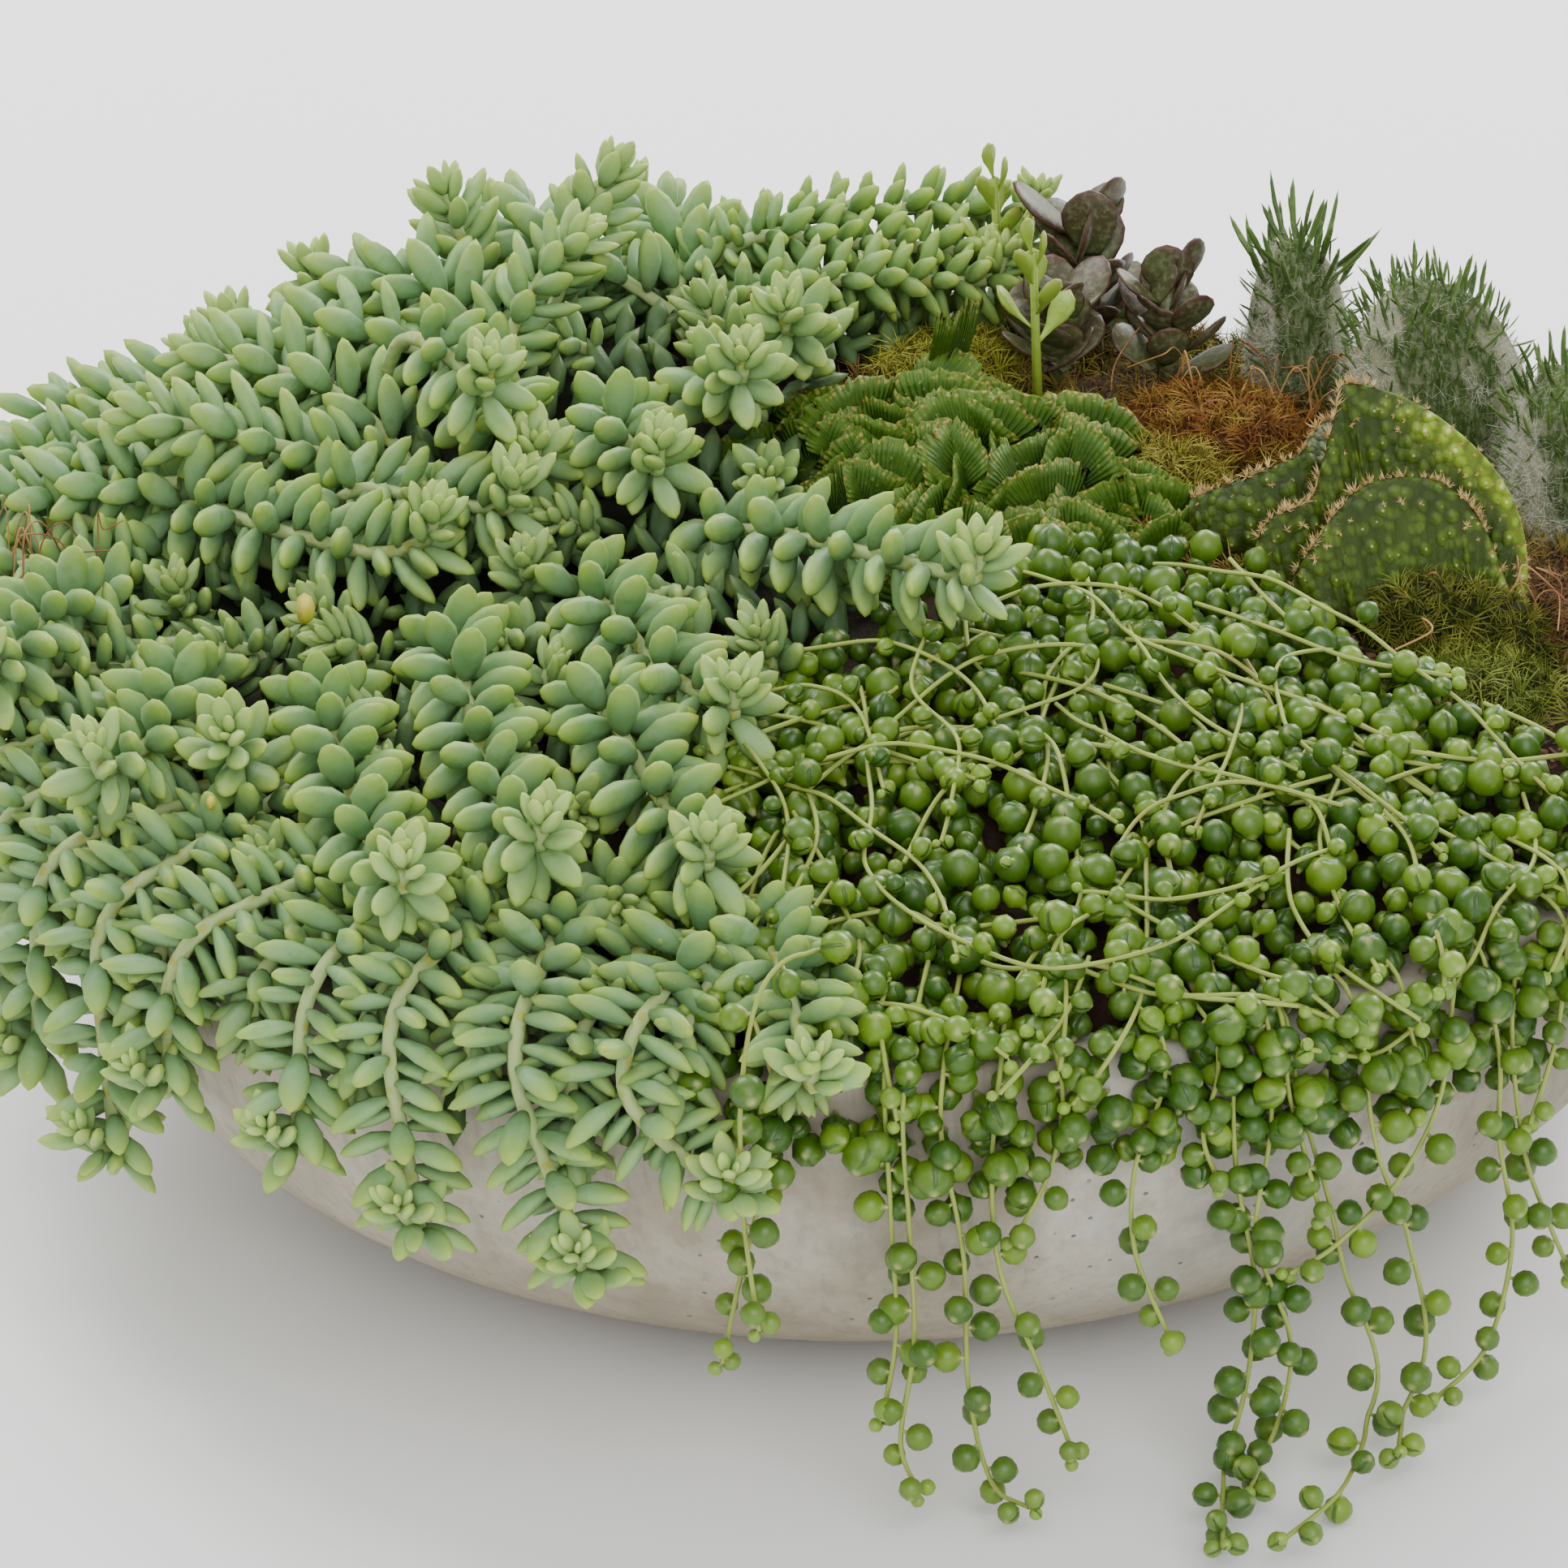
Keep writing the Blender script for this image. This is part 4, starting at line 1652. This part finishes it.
finger_form = leaf_form(FINGER_LENGTH, FINGER_WIDTH, 0, 0.16, FINGER_RINGS, 5, 0.6)
finger_pattern = pattern_object("woolly_finger", finger_form)
tuft = tuft_form(WOOL_IN_TUFT, WOOL_LENGTH, WOOL_WIDTH, 1.3, curl=1.3, seed=8)
wool_pattern = mesh_object("wool_tuft", tuft)


def carrier_object(piece, keep=None, lift=0.0):
    """A carrier with a small loose face over each of a piece's faces that a test keeps. Lift turns
    them up toward the sky, so that what is strewn on them stands more upright."""
    form = bmesh.new()
    for polygon in piece.data.polygons:
        if keep and not keep(polygon.center, polygon.normal):
            continue
        normal = (polygon.normal + Vector((0, 0, lift))).normalized()
        side = normal.orthogonal().normalized() * math.sqrt(polygon.area / 2)
        other = normal.cross(side)
        corners = (side, other, -side, -other)
        form.faces.new([form.verts.new(polygon.center + corner) for corner in corners])
    return mesh_object("carrier", form)


def wool_at(place, middle_x, length):
    """How much wool grows at a place: thick on the sides of a clump, thin on its front."""
    aside = (place.x / MM - middle_x) / length
    patch = noise.noise(place * 60) * 0.5 + noise.noise(place * 150) * 0.5
    return min(max((patch + min(abs(aside), 0.7) * 1.4 - 0.62) * 2.2, 0), 1)


for seed, (node, (x, y, length, width, height, leaf)) in enumerate(WOOLLY_CLUMPS.items()):
    sizes = [value * MM for value in (x, y, length, width)]
    form = cushion_form(*sizes, 0, height * MM, sides=26, rings=12, rough=3 * MM)
    body = new_piece(node + "_body", form, woolly_finish)
    foot = soil_height(x * MM, y * MM)
    top = foot + height * 0.70 * MM
    low = foot + height * 0.25 * MM
    crown = carrier_object(body, lambda middle, normal: middle.z > top and normal.z > 0.25, CROWN_LIFT)
    flanks = carrier_object(body, lambda middle, normal: middle.z > low, FLANK_LIFT)
    woolled = carrier_object(body, lambda middle, normal: wool_at(middle, x, length) > WOOL_LEAST)
    everywhere = carrier_object(body)
    store(body, "wool", [wool_at(vertex.co, x, length) for vertex in body.data.vertices])
    sizes = (0.6 * leaf, 1.05 * leaf)
    meshes = [
        strew(crown, finger_pattern, finger_finish, CROWN_SPACING, sizes, (0, 38), seed + 40),
        strew(flanks, finger_pattern, finger_finish, FLANK_SPACING, (0.22, 0.50), (0, 50), seed + 45),
        strew(woolled, wool_pattern, wool_finish, WOOL_SPACING, (0.4, 1.1), (0, 75), seed + 50),
        strew(everywhere, wool_pattern, wool_finish, THIN_WOOL_SPACING, (0.3, 0.8), (0, 80), seed + 55),
        body.data.copy(),
    ]
    bpy.data.objects.remove(body)
    clump = join_meshes(node + "_clump", meshes)
    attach(clump, "root")
    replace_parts(clump, node)


# Dark rosettes stand at the back: thick oval leaves, purple brown with a silvery mottling, in a
# spiral round a short stalk.
# Each rosette: x and y, height and leaf length
DARK_ROSETTES = {
    "dark_rosette_back": (56, 124, 36, 21),
    "dark_rosette_front": (46, 94, 22, 18),
    "dark_rosette_right": (73, 97, 28, 17),
}
ROSETTE_LEAVES = 19
ROSETTE_STALK = 3.2 * MM
STALK_DEPTH = Vector((0, 0, 4 * MM))
OVAL_RINGS = [
    (0.0, 0.30), (0.10, 0.42), (0.28, 0.72), (0.48, 0.96), (0.66, 1.0), (0.82, 0.80), (0.94, 0.45),
]

dark = Finish("dark_leaf", roughness=0.5, specular=0.4)
silver = dark.noise(620, 5)
dark_broad = dark.noise(50, 3)
dark_round = dark.along()
dark_rim = (dark_round * (2 * math.pi)).sine() ** 12
dark_tone = dark.mix(dark_broad.ramp(0.35, 0.65), (0.052, 0.030, 0.018), (0.085, 0.105, 0.034))
dark_tone = dark.layered(dark_tone, [
    (silver.ramp(0.46, 0.66) * 0.50, (0.230, 0.250, 0.140)),
    (dark_rim * 0.85, (0.070, 0.020, 0.016)),
    (dark_round.out("Y").ramp(0.85, 1.0) * 0.8, (0.080, 0.022, 0.018)),
])
dark_finish = dark.finish(dark_tone, silver * 0.25 + 0.35, silver * 0.5, 0.3 * MM)


def set_leaf(form, pattern, heart, turn, tilt, size):
    """Adds a copy of a leaf that points out from its heart, tilted up from level."""
    lean = Matrix.Rotation(turn, 4, "Z") @ Matrix.Rotation(math.pi / 2 - tilt, 4, "Y")
    copy = pattern.data.copy()
    copy.transform(Matrix.Translation(heart) @ lean @ Matrix.Scale(size, 4))
    form.from_mesh(copy)
    bpy.data.meshes.remove(copy)


def add_stalk(form, foot, top, radius, sides=7):
    """Adds a slightly tapered round stalk between two places."""
    direction = top - foot
    made = bmesh.ops.create_cone(
        form, cap_ends=True, segments=sides, radius1=radius, radius2=radius * 0.7,
        depth=direction.length,
    )
    turn = direction.to_track_quat("Z", "Y").to_matrix().to_4x4()
    bmesh.ops.transform(form, matrix=Matrix.Translation((foot + top) / 2) @ turn, verts=made["verts"])


oval_pattern = pattern_object("oval_leaf", leaf_form(1, 0.76, 0, 0.16, OVAL_RINGS, 12, 0.20))
draw = random.Random(9)
for node, (x, y, height, leaf) in DARK_ROSETTES.items():
    form = bmesh.new()
    foot = Vector((x * MM, y * MM, soil_height(x * MM, y * MM)))
    add_stalk(form, foot - STALK_DEPTH, foot + Vector((0, 0, height * MM)), ROSETTE_STALK)
    for index in range(ROSETTE_LEAVES):
        share = index / (ROSETTE_LEAVES - 1)
        up = height * (0.25 + 0.70 * share)
        heart = foot + Vector((draw.uniform(-4, 4), draw.uniform(-4, 4), up)) * MM
        size = leaf * MM * draw.uniform(0.72, 1.0)
        tilt = math.radians(draw.uniform(4, 50) + 24 * share)
        set_leaf(form, oval_pattern, heart, index * GOLDEN_TURN, tilt, size)
    rosette = new_piece(node + "_leaves", form, dark_finish)
    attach(rosette, "root")
    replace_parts(rosette, node)


# Two soft green shoots stand up beside them, each a thin stalk with spoon-shaped leaves.
# Each shoot: x and y, and height
GREEN_SHOOTS = {
    "green_shoot_back": (34, 130, 46),
    "green_shoot_front": (40, 68, 42),
}
SHOOT_LEAVES = 7
SHOOT_LEAF = 15 * MM
SHOOT_STALK = 1.3 * MM
SPOON_RINGS = [(0.0, 0.16), (0.18, 0.20), (0.38, 0.42), (0.58, 0.86), (0.76, 1.0), (0.90, 0.72)]

shoot = Finish("shoot_green", roughness=0.45, specular=0.4, soft=0.08)
shoot_tone = shoot.mix(shoot.noise(90, 3), (0.190, 0.300, 0.026), (0.290, 0.410, 0.050))
shoot_tone = shoot.mix(shoot.along().out("Y").ramp(0.86, 1.0) * 0.5, shoot_tone, (0.330, 0.200, 0.070))
shoot_finish = shoot.finish(shoot_tone, None, shoot.noise(400, 2), 0.25 * MM)

spoon_pattern = pattern_object("spoon_leaf", leaf_form(1, 0.56, 0, 0.22, SPOON_RINGS, 10, 0.30))
for node, (x, y, height) in GREEN_SHOOTS.items():
    form = bmesh.new()
    foot = Vector((x * MM, y * MM, soil_height(x * MM, y * MM)))
    add_stalk(form, foot - STALK_DEPTH, foot + Vector((0, 0, height * MM)), SHOOT_STALK)
    for index in range(SHOOT_LEAVES):
        share = index / (SHOOT_LEAVES - 1)
        heart = foot + Vector((0, 0, height * MM * (0.46 + 0.52 * share)))
        size = SHOOT_LEAF * (1.0 - 0.35 * share)
        tilt = math.radians(34 + 34 * share)
        set_leaf(form, spoon_pattern, heart, index * GOLDEN_TURN + 0.6, tilt, size)
    stalk_piece = new_piece(node + "_leaves", form, shoot_finish)
    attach(stalk_piece, "root")
    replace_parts(stalk_piece, node)


# Pads of moss fill the gaps between the plants: soft tufts of hair-fine blades, from yellow green
# through gold to rusty red and brown.
# Each pad: middle x and y, half length and width, turn in degrees and thickness, then its deep,
# main and light colours
MOSS_PADS = {
    "moss_orange_back": (
        (20, 94, 30, 13, 66, 10), (0.065, 0.043, 0.009), (0.185, 0.180, 0.016), (0.310, 0.320, 0.036),
    ),
    "moss_red_centre": (
        (82, 60, 18, 19, 0, 12), (0.055, 0.018, 0.007), (0.205, 0.078, 0.016), (0.320, 0.238, 0.040),
    ),
    "moss_gold_centre": (
        (68, 28, 9, 11, 20, 9), (0.065, 0.050, 0.009), (0.238, 0.209, 0.025), (0.331, 0.310, 0.058),
    ),
    "moss_green_right": (
        (127, -74, 17, 11, 38, 12), (0.022, 0.032, 0.006), (0.108, 0.144, 0.014), (0.238, 0.266, 0.043),
    ),
    "moss_bank": (
        (126, -50, 20, 6, 4, 20), (0.018, 0.022, 0.005), (0.085, 0.098, 0.010), (0.240, 0.240, 0.036),
    ),
    "moss_brown_right": (
        (161, -30, 15, 22, 0, 12), (0.036, 0.018, 0.009), (0.151, 0.079, 0.032), (0.238, 0.158, 0.065),
    ),
    "moss_green_back": (
        (114, 134, 26, 14, -38, 10), (0.025, 0.036, 0.007), (0.115, 0.144, 0.022), (0.238, 0.259, 0.050),
    ),
    "moss_brown_back": (
        (62, 160, 28, 12, -18, 9), (0.036, 0.020, 0.009), (0.158, 0.101, 0.032), (0.245, 0.187, 0.065),
    ),
}
MOSS_LENGTH = 8.5 * MM
MOSS_WIDTH = 0.36 * MM
MOSS_IN_TUFT = 11
MOSS_SPACING = 2.0 * MM
MOSS_BODY = 0.8

tuft = tuft_form(MOSS_IN_TUFT, MOSS_LENGTH, MOSS_WIDTH, 0.95, curl=0.8, seed=6)
moss_pattern = mesh_object("moss_tuft", tuft)
for seed, (node, (measures, deep, main, light)) in enumerate(MOSS_PADS.items(), 60):
    x, y, length, width, turn, thickness = measures
    moss = Finish(node, roughness=0.9, specular=0.15)
    moss_along = moss.along().out("Y")
    patches = moss.noise(120, 4)
    blades = moss.mix(moss_along.ramp(0.0, 0.7), deep, main)
    blades = moss.mix(patches.ramp(0.45, 0.68) * moss_along, blades, light)
    blades = moss.mix(moss.stored("pick").ramp(0.7, 1.0) * 0.5, blades, light)
    moss_finish = moss.finish(blades, None, moss.noise(700, 2), 0.3 * MM)
    sizes = [value * MM for value in (x, y, length, width)]
    body = thickness * MOSS_BODY * MM
    form = cushion_form(*sizes, math.radians(turn), body, sides=24, rings=6, rough=2 * MM)
    pad = new_piece("pad", form, moss_finish)
    carrier = carrier_object(pad)
    tufts = strew(carrier, moss_pattern, moss_finish, MOSS_SPACING, (0.5, 1.1), (0, 45), seed)
    meshes = [pad.data.copy(), tufts]
    bpy.data.objects.remove(pad)
    piece = join_meshes(node + "_tufts", meshes)
    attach(piece, "root")
    if node == "moss_bank":
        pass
    else:
        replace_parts(piece, node)


# Looser moss of every colour covers the soil between the pads, thin enough to see peat through
# it in places.
MOSS_BED = [
    (-16, 62), (-4, 84), (18, 104), (40, 122), (64, 140), (90, 140), (126, 116), (160, 76),
    (186, 34), (194, -10), (188, -66), (176, -92), (158, -94), (148, -70), (132, -56), (112, -46),
    (92, -38), (64, -20), (50, 10), (30, 50), (0, 50),
]
# Azimuths from and to, radii from and to, and the height over the bed
MOSS_SHEET = (-40, 110, 20, 196, 0.5)
MOSS_BED_SPACING = 4.0 * MM
# Where the loose moss takes on another colour: the place, how far round it, and the colour
MOSS_TINTS = [
    ((0.084, 0.062, 0.130), 0.040, (0.230, 0.082, 0.014)),
    ((0.092, 0.024, 0.130), 0.034, (0.238, 0.216, 0.025)),
    ((0.165, -0.030, 0.120), 0.050, (0.137, 0.068, 0.029)),
    ((0.140, -0.075, 0.115), 0.034, (0.122, 0.166, 0.018)),
]

loose = Finish("loose_moss", roughness=0.9, specular=0.15)
loose_patches = loose.noise(45, 4)
loose_tone = loose.mix(loose_patches.ramp(0.40, 0.60), (0.187, 0.180, 0.022), (0.173, 0.086, 0.022))
for place, radius, tint in MOSS_TINTS:
    loose_tone = loose.mix(loose.around(place, radius).ramp(0.1, 0.5), loose_tone, tint)
loose_tone = loose.mix(loose.along().out("Y").ramp(0.6, 0.0) * 0.8, loose_tone, (0.043, 0.025, 0.009))
loose_tone = loose.mix(loose.stored("pick").ramp(0.7, 1.0) * 0.5, loose_tone, (0.310, 0.288, 0.058))
loose_finish = loose.finish(loose_tone, None, loose_patches, 0.3 * MM)
sheet = bed_sheet(MOSS_BED, *MOSS_SHEET)
tufts = strew(sheet, moss_pattern, loose_finish, MOSS_BED_SPACING, (0.5, 1.2), (0, 60), 90)
loose_moss = join_meshes("loose_moss", [tufts])
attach(loose_moss, "root")


# Chips of bark lie on the bare peat between the pearls and the moss.
PEAT_PATCH = [
    (86, -44), (104, -46), (120, -56), (138, -66), (150, -80), (156, -98), (132, -96), (108, -72),
    (90, -52),
]
PEAT_SHEET = (-50, -20, 90, 190, 0.3)
CHIP_SIZE = (3.0 * MM, 1.5 * MM, 0.7 * MM)
CHIP_UNEVEN = 0.5 * MM
CHIP_SPACING = 2.3 * MM

chip = Finish("bark_chip", roughness=0.85, specular=0.2)
chip_tone = chip.mix(chip.stored("pick"), (0.020, 0.010, 0.006), (0.120, 0.050, 0.024))
chip_finish = chip.finish(chip_tone, None, chip.noise(500, 3), 0.2 * MM)
form = bmesh.new()
bmesh.ops.create_cube(form, size=1)
bmesh.ops.scale(form, vec=CHIP_SIZE, verts=form.verts)
for vertex in form.verts:
    vertex.co += noise.noise_vector(vertex.co * 900) * CHIP_UNEVEN
chip_pattern = mesh_object("bark_chip", form)
sheet = bed_sheet(PEAT_PATCH, *PEAT_SHEET)
strewn = strew(sheet, chip_pattern, chip_finish, CHIP_SPACING, (0.4, 1.3), (0, 50), 95)
chips = join_meshes("bark_chips", [strewn])
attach(chips, "root")


# Thin brown roots and dry stalks arch out of the moss, and a few out of the sedum at the left.
FIBRES = 48
# Where they start: x and y, and how high over the bed
FIBRE_PLACES = [
    (96, 78, 0), (86, 62, 0), (104, 92, 0), (70, 80, 0), (150, -40, 0), (112, 20, 0),
    (124, -54, 4), (-188, 6, 20),
]
FIBRE_STRAY = 12
FIBRE_STEPS = 5
FIBRE_RADII = (0.14, 0.26)
fibre = Finish("dry_fibre", roughness=0.7, specular=0.2)
fibre_tone = fibre.mix(fibre.noise(60, 3).ramp(0.4, 0.6), (0.200, 0.080, 0.030), (0.420, 0.240, 0.090))
fibre_finish = fibre.finish(fibre_tone, None, fibre.noise(500, 2), 0.1 * MM)
draw = random.Random(15)
meshes = []
for seed in range(FIBRES):
    x, y, low = draw.choice(FIBRE_PLACES)
    x += draw.uniform(-FIBRE_STRAY, FIBRE_STRAY)
    y += draw.uniform(-FIBRE_STRAY, FIBRE_STRAY)
    heading = draw.uniform(0, 2 * math.pi)
    reach = draw.uniform(7, 22)
    ups = [2, draw.uniform(8, 17), draw.uniform(8, 19), draw.uniform(3, 14)]
    points = []
    for share, up in zip((0, 0.35, 0.7, 1), ups):
        bend = heading + share * draw.uniform(-0.5, 0.9)
        far = reach * share
        points.append((x + math.cos(bend) * far, y + math.sin(bend) * far, low + up))
    values = dict(STRAND_GROWTH, Bare=1.0, Pitch=1.0, Seed=seed)
    values["Closing up"] = 0.1
    values["Stem radius"] = draw.uniform(*FIBRE_RADII) * MM
    values["Stem finish"] = fibre_finish
    meshes.append(grown_mesh(stem_tree, line_object(smooth_route(points, FIBRE_STEPS)), values))
fibres = join_meshes("loose_fibres", meshes)
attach(fibres, "root")

# The shapes that the trees repeated are taken away
patterns = [
    sedum_pattern, plain_pattern, ground_pattern, bead_pattern, low_bead_pattern, spine_tuft,
    finger_pattern, wool_pattern, oval_pattern, spoon_pattern, moss_pattern, chip_pattern,
]
for pattern in patterns:
    bpy.data.objects.remove(pattern)
